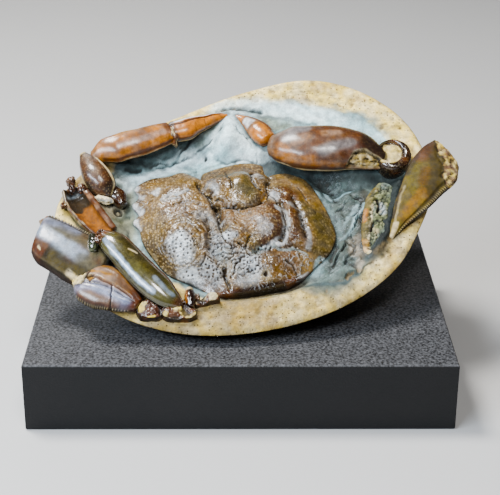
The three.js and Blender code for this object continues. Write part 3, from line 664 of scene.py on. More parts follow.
            ("olive", 1, 0.5, 62, 24, 0.05, 0.7), ("brown", 0.9, 0.9, 14, 14, 0, 1),
            ("dark brown", 0.9, 0.7, 176, 10, 0, 1), ("near black", 0.8, 0.95, 190, 16, 0, 1),
            ("brown", 0.8, 0.95, 90, 95, 0, 0.04), ("red brown", 0.9, 0.8, 90, 80, 0.95, 1)],
        strokes=[
            ("olive dark", 0.95, 0.6, 2.2, [(-64, -31), (-57, -38), (-49, -47), (-42, -55)]),
            # painted highlights along the lower flank
            ("painted blue highlight", 1, 0.6, 1.3, [(-72.4, -32), (-67.6, -39), (-61.2, -47.2), (-54.8, -54.2),
             (-47.6, -60)]),
            ("painted blue highlight", 1, 0.25, 1.2, [(-47, -53), (-42, -58), (-38, -61)]),
            ("bone", 0.5, 0.8, 0.4, [(-60.5, -37.8), (-56, -39.5)])],
        relief=[(0.3, 12, 9, 0, 1), (-0.3, 26, 8, 0.05, 0.95), (0.3, 172, 7, 0, 1)]),
    "left_leg_4": dict(
        base=("brown grey", "brown", 0.35), gloss=0.85, lumps=0.08,
        section=[1, 0.96, 0.92, 0.95, 1.03, 1.02, 0.98, 1, 1, 1, 1, 1],
        teeth=(172, 12, 0.04, 0.96, 1.3, 0.6),
        bands=[
            ("brown", 0.6, 0.7, 24, 8, 0.1, 1), ("gold", 0.4, 0.4, 36, 5, 0.15, 0.75),
            ("red brown", 0.7, 0.8, 148, 8, 0, 1), ("dark brown", 0.5, 0.98, 170, 20, 0, 1),
            ("red brown", 0.8, 0.9, 90, 90, 0.84, 1)],
        strokes=[
            ("pink beige", 0.4, 0.5, 4, [(-78, -48), (-71, -50)]),
            ("brown", 0.6, 0.4, 3, [(-64, -54), (-59, -58)]),
            ("gold", 0.5, 0.35, 1.3, [(-79, -50.5), (-73, -53.2), (-66, -57), (-60, -61)]),
            # painted highlight and painted sheen on the lower facet
            ("painted blue highlight", 0.95, 0.3, 2.4, [(-76, -57.5), (-69, -60.5), (-61, -64)]),
            ("painted lilac sheen", 0.9, 0.45, 3.6, [(-84, -55.5), (-77.5, -56), (-70, -59.5), (-62, -64)]),
            ("brown", 0.5, 0.95, 0.6, LEG_4_CRACK),
            ("gold", 0.3, 0.6, 0.7, [(-79, -47.4), (-74, -47.6), (-69, -50)]),
            ("dark brown", 0.3, 0.95, 0.35, LEG_4_SPLIT), ("dark brown", 0.3, 0.9, 0.35, LEG_4_BREAK)],
        relief=[(-0.5, 96, 4, 0.15, 0.96), (0.35, 108, 7, 0.12, 0.96)],
        lines=[(-0.6, 0.4, LEG_4_SPLIT), (-0.6, 0.4, LEG_4_BREAK), (-0.6, 0.5, LEG_4_CRACK)],
        patches=[
            ([(-88, -45), (-80.2, -46.2), (-81.6, -51.2), (-83.4, -55), (-88, -55)], ("bone", "cream"),
             0.1, 0.3, 0.7),
            ([(-80.6, -50.6), (-77.6, -49.4), (-76.4, -52.6), (-79.4, -54)], ("gold", "brown"),
             0.2, 0.9, 0.5)]),
    "left_leg_joint": dict(
        base=("green black", "olive dark", 0.7)),
    "rear_leg_stub_2": dict(
        base=("dark brown", "red brown", 1), gloss=0.9,
        bands=[("orange", 0.8, 0.45, 140, 25, 0.1, 0.9), ("bone", 0.2, 0.7, 90, 90, 0, 0.1)],
        strokes=[("worn white and sheen", 0.9, 0.8, 0.6, [(-29.4, -63.4)]), ("black", 0.2, 1, 0.7, [(-27.4, -57)])]),
}

# broken slabs of hind leg shell: (outline, low w, top height, tilt along u and v, top colours)
SLABS = {
    "rear_leg_stub_1": (
        [(-55.6, -67.4), (-54.6, -65.4), (-51.2, -62.4), (-46.8, -65), (-44.4, -66.6), (-43.4, -69.2),
         (-45, -71.2), (-49.5, -71.6), (-53.6, -70.4)],
        -5.5, 4.2, (0.04, 0.22), ("cream", "red brown")),
    "rear_leg_stub_3": (
        [(-43, -67), (-41.4, -65.6), (-38, -66.6), (-34.5, -65.4), (-32.2, -64), (-30, -66.2),
         (-27, -67.2), (-26.6, -69.4), (-29, -71.4), (-34, -71.8), (-39, -71.6), (-42.4, -70.4)],
        -6, 3.8, (-0.02, 0.2), ("cream", "brown")),
    "rear_leg_stub_4": (
        [(-27, -61.4), (-24.8, -60.6), (-22, -58.4), (-19.6, -57), (-16.2, -57.8), (-15.6, -60),
         (-19.5, -61.4), (-23, -63), (-26.4, -63.6)],
        -6, 2.6, (0.02, 0.2), ("bone", "brown")),
}

# lines and spots on the shell that several tables or functions share
REAR_SEAM = [(6, -29.1), (11.6, -28.1), (17.1, -28.7), (22.7, -27.6), (28.9, -29.7)]
DOME_RIDGE = [(-27.6, -14.5), (-23.5, -19), (-21.9, -23), (-23.2, -29.8)]
LEFT_RIDGE = [(-46.5, 2.9), (-40.8, 5.4), (-32.3, 7.4)]
LEFT_LOW_RIDGE = [(-45.7, 1.3), (-37.9, 3.6)]
CORNER_PIT = [(36.4, -33), (39.5, -29.5)]
REAR_PIT = [(8.6, -43.8)]
SLEEK_LOBE = [(10.6, -34.5), (11.4, -39.5)]
FRONT_LOBE = [(-4.6, 18), (-3.4, 7)]
# the worn white and worn grey strokes are wear on the shell, and in part a painted highlight
SHELL_STROKES = [
    ("olive", 0.6, 0.8, 6.5, [(33.4, 0.4), (38.7, -10.1), (39.8, -19.6), (38.1, -27.2), (35, -32)]),
    ("olive", 0.5, 0.55, 8, [(-50, -12), (-48, -25), (-40, -36), (-33, -41)]),
    ("shell tan", 0.4, 0.5, 6, [(-50, 14), (-52, 0), (-52, -14)]),
    ("shell tan", 0.6, 0.7, 4.5, [(-46, 12.7), (-38.9, 16.3), (-31.7, 16.8), (-28.8, 12.7)]),
    ("pink tan", 0.7, 0.5, 6, [(-42, -4), (-34, -6), (-26, -4)]),
    ("worn grey and sheen", 0.3, 0.5, 5, [(-24, -10), (-18, -15)]),
    ("worn white and sheen", 0.8, 0.95, 4.7, [(-36.4, -26), (-33.5, -31)]),
    ("worn grey and sheen", 0.3, 0.75, 5.5, [(-19, -25), (-16.5, -31)]),
    ("worn white and sheen", 0.3, 0.85, 3.8, [(-10.6, -22.8)]),
    ("pink tan", 0.35, 0.7, 7, [(-10, -9), (-2, -12), (4, -8)]),
    ("pink tan", 0.5, 0.6, 6.5, [(4, -12), (9, -17)]),
    ("worn white and sheen", 0.7, 0.3, 3.5, [(7.5, -17), (10, -20)]),
    ("red brown", 0.8, 0.8, 2.6, [(12.5, -3), (15, -10), (15.8, -17), (13, -23), (8, -25.5)]),
    ("red brown", 0.7, 0.65, 3.4, [(22, -6), (23.6, -13), (23.5, -21)]),
    ("shell dark", 0.7, 0.5, 2, [(18.5, -22), (20, -26)]),
    ("worn white and sheen", 0.4, 0.85, 1.5, [(15.2, -3.2), (17.2, -8.4), (18.7, -14.4), (18.4, -20.4),
     (14.7, -26.4), (7.4, -28.9)]),
    ("worn grey and sheen", 0.4, 0.65, 1.6, [(22.7, -0.5), (26.4, -7.5), (29.4, -16.2), (30.4, -26.4)]),
    ("red brown", 0.85, 0.75, 4.2, [(18, 6.5), (20.5, 4)]), ("worn white and sheen", 0.4, 0.8, 2.8, [(13, 3.6)]),
    ("shell tan", 0.5, 0.75, 4.2, [(12.3, 15.6), (17, 18), (24, 15), (31, 8), (37, 1)]),
    ("pink tan", 0.5, 0.4, 2.4, [(16, 16.5), (24, 13), (31, 6)]),
    ("shell tan", 0.15, 0.9, 4.4, [(-22, 23.5), (-10, 27), (1, 28.5), (8, 25)]),
    ("olive", 0.95, 0.9, 7.4, FRONT_LOBE), ("shell tan", 0.9, 0.45, 3.5, [(-6, 20), (-7, 14)]),
    ("worn white and sheen", 0.6, 0.6, 1.7, [(4.2, 18.6), (6.2, 16.4)]),
    ("gold", 0.9, 0.6, 2.6, [(7.5, 3.2), (9.6, 8)]), ("olive", 0.4, 0.7, 4.6, [(-22, 20), (-16, 19)]),
    ("shell brown", 0.15, 0.8, 4.2, [(-23, 19), (-14, 22.5), (-4, 24.8), (5, 24)]),
    ("worn white and sheen", 0.7, 0.85, 2, [(-18.4, 8), (-17.8, 6)]),
    ("worn grey and sheen", 0.4, 0.5, 2.4, [(-21, 11.5), (-19, 12.5)]),
    ("shell tan", 0.8, 0.5, 3.5, [(-15, 5), (-11, 1), (-5, -0.6)]),
    # painted shade in the groove
    ("shell dark", 0.9, 0.85, 2.1, [(-22.2, 5.6), (-19.3, 1.2), (-17.5, -4), (-16.2, -9)]),
    ("worn white and sheen", 0.5, 0.85, 0.9, LEFT_RIDGE), ("worn white and sheen", 0.5, 0.7, 0.7, LEFT_LOW_RIDGE),
    ("shell brown", 0.8, 0.8, 2.4, DOME_RIDGE),
    ("shell brown", 0.55, 0.9, 4.3, [(-4.3, -21), (-4.6, -25)]),
    ("worn grey and sheen", 0.35, 0.75, 6, [(0, -36), (-1, -46)]),
    ("worn white and sheen", 0.35, 0.6, 4.5, [(1, -38), (2, -44)]),
    ("worn white and sheen", 0.35, 0.8, 4.6, [(-33, -42.6), (-28, -46)]),
    ("worn grey and sheen", 0.35, 0.85, 5.4, [(-22, -40), (-17, -43)]),
    ("blue", 0.35, 0.5, 4, [(-13, -33), (-8, -40)]), ("shell brown", 0.8, 0.9, 6, SLEEK_LOBE),
    ("shell brown", 0.5, 0.7, 6, [(19, -44), (25, -39)]),
    ("pink tan", 0.4, 0.5, 5, [(20, -36), (22, -32)]),
    ("shell tan", 0.5, 0.8, 3.8, [(27.5, -37), (29.5, -31)]), ("blue", 0.4, 0.85, 0.9, REAR_SEAM),
    ("blue pale", 0.4, 0.7, 2, [(3.5, -31.5), (5.5, -30)]),
    # painted shade in the groove and, on the next line, in the corner pit
    ("shell dark", 0.4, 0.9, 1.4, [(-12.8, -39.4), (-12.1, -46.3), (-10.7, -50.4)]),
    ("shell dark", 0.6, 0.8, 2.4, CORNER_PIT),
    ("blue pale", 0.5, 0.8, 1.4, [(32.5, -35.5), (35.4, -32.6), (38.4, -32)]),
    ("worn white and sheen", 0.7, 0.9, 1.5, [(25.6, -42.6), (28, -41)]),
    ("worn white and sheen", 0.5, 0.7, 1.3, [(-50.5, 8), (-47, 11)]), ("bone", 0.4, 0.8, 2.6, REAR_PIT),
    # painted shade in the rear pit
    ("black", 0.2, 1, 1.3, REAR_PIT),
    ("brown", 0.9, 0.85, 2.2, [(-14.7, -55.5), (-5, -54.6), (8.4, -51.6), (22, -47.5), (29, -42)]),
    ("worn white and sheen", 0.5, 0.7, 1.8, [(-59.4, 9), (-57, 7)]),
    ("worn white and sheen", 0.5, 0.7, 1.8, [(-59.4, 0), (-57, -2)]),
    ("worn white and sheen", 0.5, 0.7, 1.8, [(-58.8, -10), (-57, -12)]),
    ("bone", 0.4, 0.7, 1.4, [(-56, -20), (-50, -31), (-41, -42)]),
]
# finer ridges and grooves: (height, width, line)
SHELL_LINES = [
    (-1.1, 0.7, [(-15.8, 1.2), (-12.2, -3.2), (-5.8, -4.8), (0.6, -3.9), (4.9, -1.6), (8.5, 1.4),
     (10.8, 4.3)]),
    (-0.9, 0.8, [(-27.5, 14.1), (-25.1, 8.7), (-20.1, 3), (-17.9, -2.3), (-16.4, -8.4), (-15.7, -14.5),
     (-12.8, -23), (-9.3, -31.4)]),
    (-0.7, 0.8, [(-12.3, 22), (-11.2, 14.6), (-10, 7)]), (-0.9, 0.8, [(2.4, 20), (2.2, 12), (5, 6)]),
    (-0.8, 0.6, [(11.1, 14), (10, 6.5), (12.1, 3), (14.9, -1.4)]),
    (0.5, 0.8, [(16.2, -4), (18.2, -9), (19.6, -15), (19, -21)]), (0.6, 0.6, LEFT_RIDGE),
    (0.5, 0.5, LEFT_LOW_RIDGE),
    (0.5, 0.6, [(-41.1, -9.3), (-36.9, -8.4), (-33.4, -10.3), (-29.8, -9.3), (-26.4, -5.8)]),
    (0.5, 0.6, [(-38.3, -11.9), (-33.3, -12.8), (-28.4, -10.6), (-24.9, -7.6)]), (0.6, 0.7, REAR_SEAM),
    (-0.8, 0.6, [(-25.2, -39.7), (-23.8, -36.4), (-23.2, -33.1), (-19, -34.8)]),
    (-2, 1.1, [(-12.8, -39.4), (-12.1, -46.3), (-10.7, -52.4)]),
    (-0.9, 0.7, [(-10, -45.5), (-5.9, -38.1), (-2.4, -33.9)]),
    (-0.9, 0.7, [(-7.2, -28.1), (-3.8, -30.6), (-1.2, -28.2)]),
    (-0.7, 0.6, [(0.5, -23), (-1.7, -29.7), (0.4, -33.1)]),
    (-0.9, 0.6, [(19.5, -36), (22.5, -40), (24, -45)]), (0.7, 0.7, [(25, -31), (24.5, -38), (26, -43)]),
    (0.6, 0.7, [(-36.1, -44.8), (-30.5, -48.4), (-25.7, -51.4), (-19.5, -54.4)]), (-2.6, 1.2, REAR_PIT),
    (0.6, 2.6, REAR_PIT), (-3, 1.6, CORNER_PIT), (0.9, 1.2, [(31, -36.5), (36.5, -36), (41.5, -30)]),
    (1, 1.4, [(-18.7, 7.4)]), (-0.5, 0.7, [(26, 12), (31, 5), (35, -4)]),
    (-0.6, 0.8, [(-40, -1), (-30, 0.5), (-23.5, -2)]), (0.8, 1.5, DOME_RIDGE),
]
SPINE_TIPS = [(-60, 13.5), (-60.5, 2.5), (-59.6, -8)]
# zones of fine wrinkles: (u, v, reach, height); of pits: (u, v, reach); of rings round a
# spot: (u, v, from, to, period, height)
WRINKLED = [
    (-32, -6, 11, 0.35), (-10, 1, 7, 0.3), (-20, -16, 6, 0.6), (-16, -30, 8, 0.8), (-4, -38, 10, 1),
    (-2, -10, 7, 0.25), (24, -36, 9, 0.5), (6, 16, 5, 0.5), (-20, -46, 8, 0.6), (13, 5, 5, 0.5),
    (22, -24, 6, 0.5), (-57, 0, 6, 0.5), (10, -46, 12, 0.3),
]
PITTED = [
    (-35, -27, 8.4), (-10.6, -22.8, 4), (-20, -41, 7), (-30.5, -44, 6), (-17, -28, 5), (1, -38, 6),
    (7, -30, 4), (-9, -4, 3),
]
RINGED = [
    (-35, -24, 8.5, 16, 2.3, 0.14), (-17, -20, 2, 7, 1.8, 0.2),
]

# lines and spots on the stone that several tables or functions share
LONG_CRACK = [(-66.3, 25.5), (-61.2, 25.5), (-52.8, 27.7), (-46, 28.7), (-37.6, 34.1), (-31.8, 41.8)]
LEDGE_EDGE = [(-56, 26.4), (-44, 30), (-34, 36.5)]
RIGHT_FOLD = [(55.9, 1.6), (54.8, -2.2), (50.7, -5.9), (46.6, -11.2)]
OUTER_FOLD = [(59.8, 1.1), (56.9, -3.8), (52.1, -13.8), (47.5, -20)]
STONE_STROKES = [
    ("blue pale", 0.4, 0.35, 7, [(20, 62), (37, 57), (52, 49), (64, 36)]),
    ("slate", 0.4, 0.25, 5, [(44, 56), (56, 48), (67, 36)]),
    ("floor green", 0.4, 0.8, 7, [(-66, 14), (-66, 2), (-64, -14)]),
    # painted light: the glow strokes brighten the stone as if more light fell there
    ("painted glow", 0.6, 0.85, 4.6, [(-66, 17), (-58, 19.6), (-50, 23.6), (-42, 29), (-33, 35)]),
    # painted shadow under the left claw
    ("blue dark", 0.5, 0.5, 2.2, [(-73, 25), (-62, 27.4), (-51, 30), (-38, 36), (-26, 43)]),
    ("blue black", 0.4, 0.8, 0.9, LONG_CRACK), ("blue", 0.6, 0.7, 1.2, LEDGE_EDGE),
    # painted shadow under the left claw
    ("blue black", 0.4, 0.4, 2.4, [(-70, 25.5), (-58, 30.5), (-46, 35), (-34, 40), (-22, 47)]),
    # painted light, on this line and the next
    ("painted glow", 0.6, 0.85, 7, [(-9, 58), (-9, 48), (-8, 42), (-1, 35), (7, 30.5)]),
    ("painted glow", 0.6, 0.6, 4, [(-14, 48), (-22, 38), (-32, 33)]),
    ("blue", 0.6, 0.7, 1.6, [(-14, 50), (-18, 40), (-26, 36)]),
    # painted light
    ("painted glow", 0.5, 0.7, 6, [(-16, 64), (4, 67), (20, 65), (34, 62), (46, 57)]),
    ("blue pale", 0.5, 0.5, 5, [(46, 57), (58, 51.5), (70, 45)]),
    # painted shade in the groove
    ("blue dark", 0.5, 0.7, 2.2, [(-16, 62), (-6, 63.5), (6, 63)]),
    ("blue dark", 0.5, 0.5, 1.4, [(6, 60), (20, 58), (36, 54)]),
    # painted shadow under the right claw
    ("blue black", 0.4, 0.9, 6, [(22, 21), (36, 18), (53, 17), (66, 17), (76, 16)]),
    ("slate", 0.5, 0.9, 15, [(52, 8), (55, -6), (54, -20), (48, -34), (40, -42)]),
    ("matrix green", 0.5, 0.85, 12, [(52, 2), (53, -22), (46, -38), (38, -44)]),
    # painted shade: a raised dark strip fills the gap between the paddle and its base
    ("blue black", 0.4, 0.97, 4.4, [(80, 14), (76, 4), (73.6, -8), (70, -20), (65, -31)]),
    ("olive dark", 0.4, 0.8, 2.6, [(60, 10), (59.4, -4), (57.4, -20), (57, -30)]),
    ("blue pale", 0.7, 0.8, 1.1, [(40.6, 13.7), (41.4, 10), (42.9, 7.4)]),
    ("blue pale", 0.7, 0.7, 1.0, [(45.5, 9), (48.5, 11.4), (53, 12)]), ("blue", 0.7, 0.8, 1.2, RIGHT_FOLD),
    ("blue pale", 0.7, 0.6, 1.2, OUTER_FOLD), ("blue", 0.7, 0.8, 1.6, [(41, 4), (45, -6), (47.6, -15)]),
    ("slate", 0.5, 0.8, 4, [(30, -45), (42, -41), (49, -37.5)]),
    ("matrix green", 0.5, 0.6, 4, [(45, 4), (49, -14), (47, -26)]),
    ("blue", 0.5, 0.8, 2.4, [(33, -29), (37, -31), (35.5, -37), (30, -38.5)]),
    ("pink stone", 0.3, 0.8, 3.2, [(55, -21), (54, -27), (59, -30)]),
    ("pink stone", 0.3, 0.7, 2.4, [(56.5, -35), (54.6, -40)]),
    ("blue dark", 0.4, 0.9, 1.8, [(25.2, -47.7), (33.6, -46.7), (39.8, -48.2), (46.9, -48.2),
     (50.4, -45.2), (53.4, -43.7)]),
    ("blue black", 0.3, 0.9, 0.8, [(62, -36.5), (58.5, -39), (55.2, -42.5)]),
    ("cream", 0.2, 0.95, 7, [(-60, -66), (-44, -63), (-33, -60)]),
    ("cream", 0.2, 0.95, 3.6, [(-38, -49.5), (-33, -55), (-26, -59)]),
    ("blue", 0.4, 0.6, 2, [(-56, -24), (-48, -36), (-42, -42)]),
    ("bone", 0.3, 0.8, 4.5, [(-86, 10), (-78, 3), (-71, 0)]),
    ("cream", 0.2, 0.9, 8, [(-97, -4), (-94, -16), (-88, -20)]),
    ("floor green", 0.3, 0.45, 2.4, [(-14, -57), (10, -54), (30, -50)]),
    # painted shade in a pit and in a dent
    ("pit shade", 0.2, 0.9, 0.9, [(-22.3, 34.5)]), ("cream dirt and shade", 0.2, 0.6, 1.4, [(12.4, -70)]),
]
STONE_LINES = [
    (-0.7, 1, [(-63.8, 29.4), (-50.9, 29.4), (-36, 33.2), (-20.9, 41.9), (-13.3, 51.7)]),
    (-0.5, 0.9, [(-71.4, 32.2), (-43.5, 34.2), (-28.6, 43.8)]), (-0.8, 0.5, LONG_CRACK),
    (0.7, 1, LEDGE_EDGE),
    (-0.9, 0.5, [(-62.9, -3.7), (-61.5, -8.8), (-62.9, -13.9), (-60.2, -19.9), (-57.6, -21.8)]),
    (-0.6, 0.5, [(-7.2, 50.7), (-1.9, 43.9), (4.2, 36.2), (5, 31)]),
    (-0.5, 0.5, [(-2, 44), (4, 45), (9, 43)]), (-1.2, 1.3, [(-22.3, 34.5)]),
    (-1.3, 0.9, [(-14, 62), (-4, 64), (8, 63)]),
    (-1, 0.5, [(44.9, -21.1), (43, -24.7), (40.3, -28.3), (37.6, -32.4), (35.3, -35.9), (34, -38.9)]),
    (1.1, 0.7, [(45.3, -21.1), (46, -24.7), (43.7, -29.3), (39.6, -35.9), (36.1, -38.4)]),
    (0.9, 0.7, [(50, -21.1), (47.2, -26.2), (46.1, -31.3)]), (0.9, 0.7, RIGHT_FOLD),
    (0.9, 0.7, OUTER_FOLD),
    (1.2, 0.7, [(51.6, -33), (53.5, -30), (56.6, -31), (56.4, -34.4), (53.6, -35.5), (51.6, -33)]),
    (3, 3, [(79, 14), (76, 4), (73.6, -8), (70, -20), (65, -31)]), (-1.6, 0.9, [(50.2, -33.5)]),
    (-1.2, 3, [(12.4, -70)]), (-1, 4, [(39, -65)]),
]
# chips and slabs: (outline, rise, tilt along u and along v)
CHIPS = [
    ([(39.6, 14.6), (41, 6.4), (44.6, 8.6), (44, 14)], 0.9, (0.22, 0.05)),
    ([(44.4, 13.6), (45, 9), (47.8, 10.6), (50, 14.6)], 0.6, (-0.2, 0.15)),
    ([(42.6, 5.6), (46.5, 6.4), (51.6, 12.6), (54, 9), (49, 2), (44, 0)], 0.7, (0.12, -0.2)),
    ([(53, 8), (58, 3), (56.4, -3), (51.6, -4), (49.6, 1)], 0.8, (0.1, 0.2)),
    ([(45, -1), (50, -5), (47, -11), (44.6, -10)], 0.7, (-0.15, 0.1)),
    ([(51, -6), (57, -4), (52.6, -13), (48, -18.6), (46.6, -12.4)], 0.8, (0.2, 0.1)),
    ([(57.6, -6), (59, -14), (55, -20), (52.4, -15)], 0.7, (-0.15, 0.15)),
    ([(45.6, -21), (49.6, -21.4), (47, -27), (43.6, -31), (38, -38), (35, -39.5), (39.6, -34),
     (45.4, -26)], 1.1, (0.18, 0.1)),
    ([(50.4, -22), (54, -24), (51, -31), (44, -38), (40, -40), (45, -33)], 0.8, (-0.1, 0.15)),
    ([(33, -45), (39.2, -42.6), (45.7, -39), (50, -37.4), (53, -42), (47, -46), (40, -46.4), (34, -46.4)],
     1.0, (0.06, 0.2)),
    ([(32, -28.6), (38.6, -28.6), (38.2, -32.4), (35, -38.4), (28, -40.4), (31, -36)], -0.8, (0.1, 0.1)),
]
RING_DIMPLE, RING_RADIUS = (-68.8, -1.6), 2.8
BROKEN_GROUND = [(44, 12), (52, 0), (52, -22), (44, -38)]
# layers of stone that crop out along a ledge, and the line that they are counted from
LEDGE = [(-66, 24), (-48, 27), (-30, 33), (-18, 44)]
LAYERS_FROM = [(-75, 22), (-50, 31), (-26, 40), (-12, 56)]

# pebbles and broken bits: (name, middle, radii, turn in degrees, colours, gloss, roughness, slot)
BITS = [
    ("left_claw_plug", (-40.4, 41.6, 3), (2.2, 5.4, 4.6), 18, ("brown", "bone"), 0.5, 1.3, "brown_shell"),
    ("left_leg_pebble", (-78.4, -32.4, 8.2), (2.6, 4.2, 3.2), -10, ("green black", "infill"),
     0.9, 0.15, "olive_shell"),
    ("left_leg_3_knob_upper", (-74.6, -25.4, 9), (2.6, 1.9, 2.4), 30, ("brown", "dark brown"),
     0.9, 0.9, "brown_shell"),
    ("left_leg_3_knob_lower", (-76, -30.2, 10.2), (1.7, 2.8, 2.2), 10, ("brown", "brown grey"),
     0.9, 0.8, "brown_shell"),
    ("leg_knob_upper", (-92.9, 10.8, 3.4), (2.5, 2.3, 3), 20, ("brown", "brown grey"),
     0.8, 0.9, "brown_shell"),
    ("leg_knob_lower", (-92.5, 5.6, 3.4), (2, 2.4, 2.6), 0, ("dark brown", "brown"),
     0.9, 0.8, "brown_shell"),
    ("leg_knob_inner", (-87.2, 6.6, 3.4), (2.8, 2.2, 2.4), -20, ("brown", "near black"),
     0.9, 0.8, "brown_shell"),
    ("leg_knob_edge", (-95.7, -3.4, 2.6), (1.4, 2.4, 1.8), -30, ("brown", "bone"), 0.7, 0.9, "brown_shell"),
    ("left_wrist_cup", (-75.8, 1.8, 0.4), (5.2, 2, 2.6), -14, ("bone", "worn grey and sheen"), 0.5, 0.8, "infill"),
    ("blue_pebble", (58.8, -40, -3.6), (2, 6.4, 2.6), -38, ("blue dark", "slate"), 0.6, 0.6, "matrix"),
    ("rear_chip_1", (-44.6, -63.6, 0.6), (2.2, 1.6, 2.6), 30, ("red brown", "dark brown"),
     0.9, 1.2, "brown_shell"),
    ("rear_chip_2", (-37.2, -63.2, 0.4), (2.4, 1.5, 2.4), -20, ("brown grey", "brown"), 0.2, 1.2, "infill"),
    ("rear_chip_3", (-31.6, -61.6, 0.2), (1.6, 2.2, 2.2), 10, ("brown", "dark brown"),
     0.9, 1.1, "brown_shell"),
    ("rear_chip_4", (-26.4, -58.2, 0), (1.5, 1.8, 2), 40, ("brown grey", "dark brown"),
     0.8, 1.1, "brown_shell"),
    ("leg_end_crumb", (-105.8, -15, 4), (1.7, 1.4, 1.6), 20, ("brown grey", "bone"), 0.2, 0.8, "infill"),
]


# --------------------------------------------------------------------------- materials
# linear colours that the shaders lay over the paint: painted shade between the beads and gold on them,
# painted shade between the wrinkles and pale wear on their crests that is also a painted highlight, and
# painted shade in the pores
BEAD_GAP_SHADE, BEAD_TOP = (0.02, 0.012, 0.004, 1), (0.5, 0.35, 0.14, 1)
WRINKLE_FLOOR_SHADE, WRINKLE_CREST_WEAR_SHEEN = (0.09, 0.05, 0.02, 1), (0.68, 0.72, 0.74, 1)
PORE_FLOOR_SHADE = (0.03, 0.02, 0.01, 1)
# the plinth: its side, painted darker than its top as shade, and the grain of its top as (position on the
# ramp, colour)
PLINTH_SIDE_SHADE = (0.003, 0.003, 0.0034, 1)
PLINTH_GRAIN = [(0.36, (0.004, 0.004, 0.0045, 1)), (0.72, (0.075, 0.076, 0.082, 1))]


def per_metre(size):
    """A texture's scale from the size of its forms in mm."""
    return 1 / (size * MM)


class Surface:
    """A new material with short ways to add linked nodes to it."""

    def __init__(self, name):
        self.material = bpy.data.materials.new(name)
        self.material.use_nodes = True
        self.tree = self.material.node_tree
        self.shader = self.tree.nodes["Principled BSDF"]
        self.place = self.add("ShaderNodeTexCoord").outputs["Object"]

    def add(self, kind, inputs=()):
        """A new node, each of whose inputs takes a value or a link."""
        node = self.tree.nodes.new(kind)
        for key, value in dict(inputs).items():
            self.fill(node.inputs[key], value)
        return node

    def fill(self, socket, value):
        """Link an output to a socket, or set its value."""
        if isinstance(value, bpy.types.NodeSocket):
            self.tree.links.new(value, socket)
        else:
            socket.default_value = value

    def noise(self, scale, detail, bend=0.0):
        inputs = {"Vector": self.place, "Scale": scale, "Detail": detail, "Distortion": bend}
        return self.add("ShaderNodeTexNoise", inputs).outputs["Fac"]

    def spots(self, scale):
        """Distance to the nearest of scattered spots, and a number of that spot's own."""
        node = self.add("ShaderNodeTexVoronoi", {"Vector": self.place, "Scale": scale})
        own = self.add("ShaderNodeSeparateColor", {"Color": node.outputs["Color"]})
        return node.outputs["Distance"], own.outputs["Red"]

    def ranged(self, value, start, end, low=0.0, high=1.0, kind="SMOOTHSTEP"):
        """From low at start to high at end, and no further beyond them."""
        inputs = {"Value": value, "From Min": start, "From Max": end, "To Min": low, "To Max": high}
        node = self.add("ShaderNodeMapRange", inputs)
        node.interpolation_type = kind
        return node.outputs["Result"]

    def maths(self, operation, first, second):
        node = self.add("ShaderNodeMath", {0: first, 1: second})
        node.operation = operation
        return node.outputs[0]

    def times(self, first, second):
        return self.maths("MULTIPLY", first, second)

    def plus(self, first, second):
        return self.maths("ADD", first, second)

    def blend(self, share, first, second):
        """Two colours mixed; the Mix node's colour sockets are its 7th and 8th."""
        node = self.add("ShaderNodeMix")
        node.data_type = "RGBA"
        for place, value in zip((0, 6, 7), (share, first, second)):
            self.fill(node.inputs[place], value)
        return node.outputs[2]

    def bump(self, height, distance):
        node = self.add("ShaderNodeBump", {"Distance": distance, "Height": height})
        self.fill(self.shader.inputs["Normal"], node.outputs["Normal"])


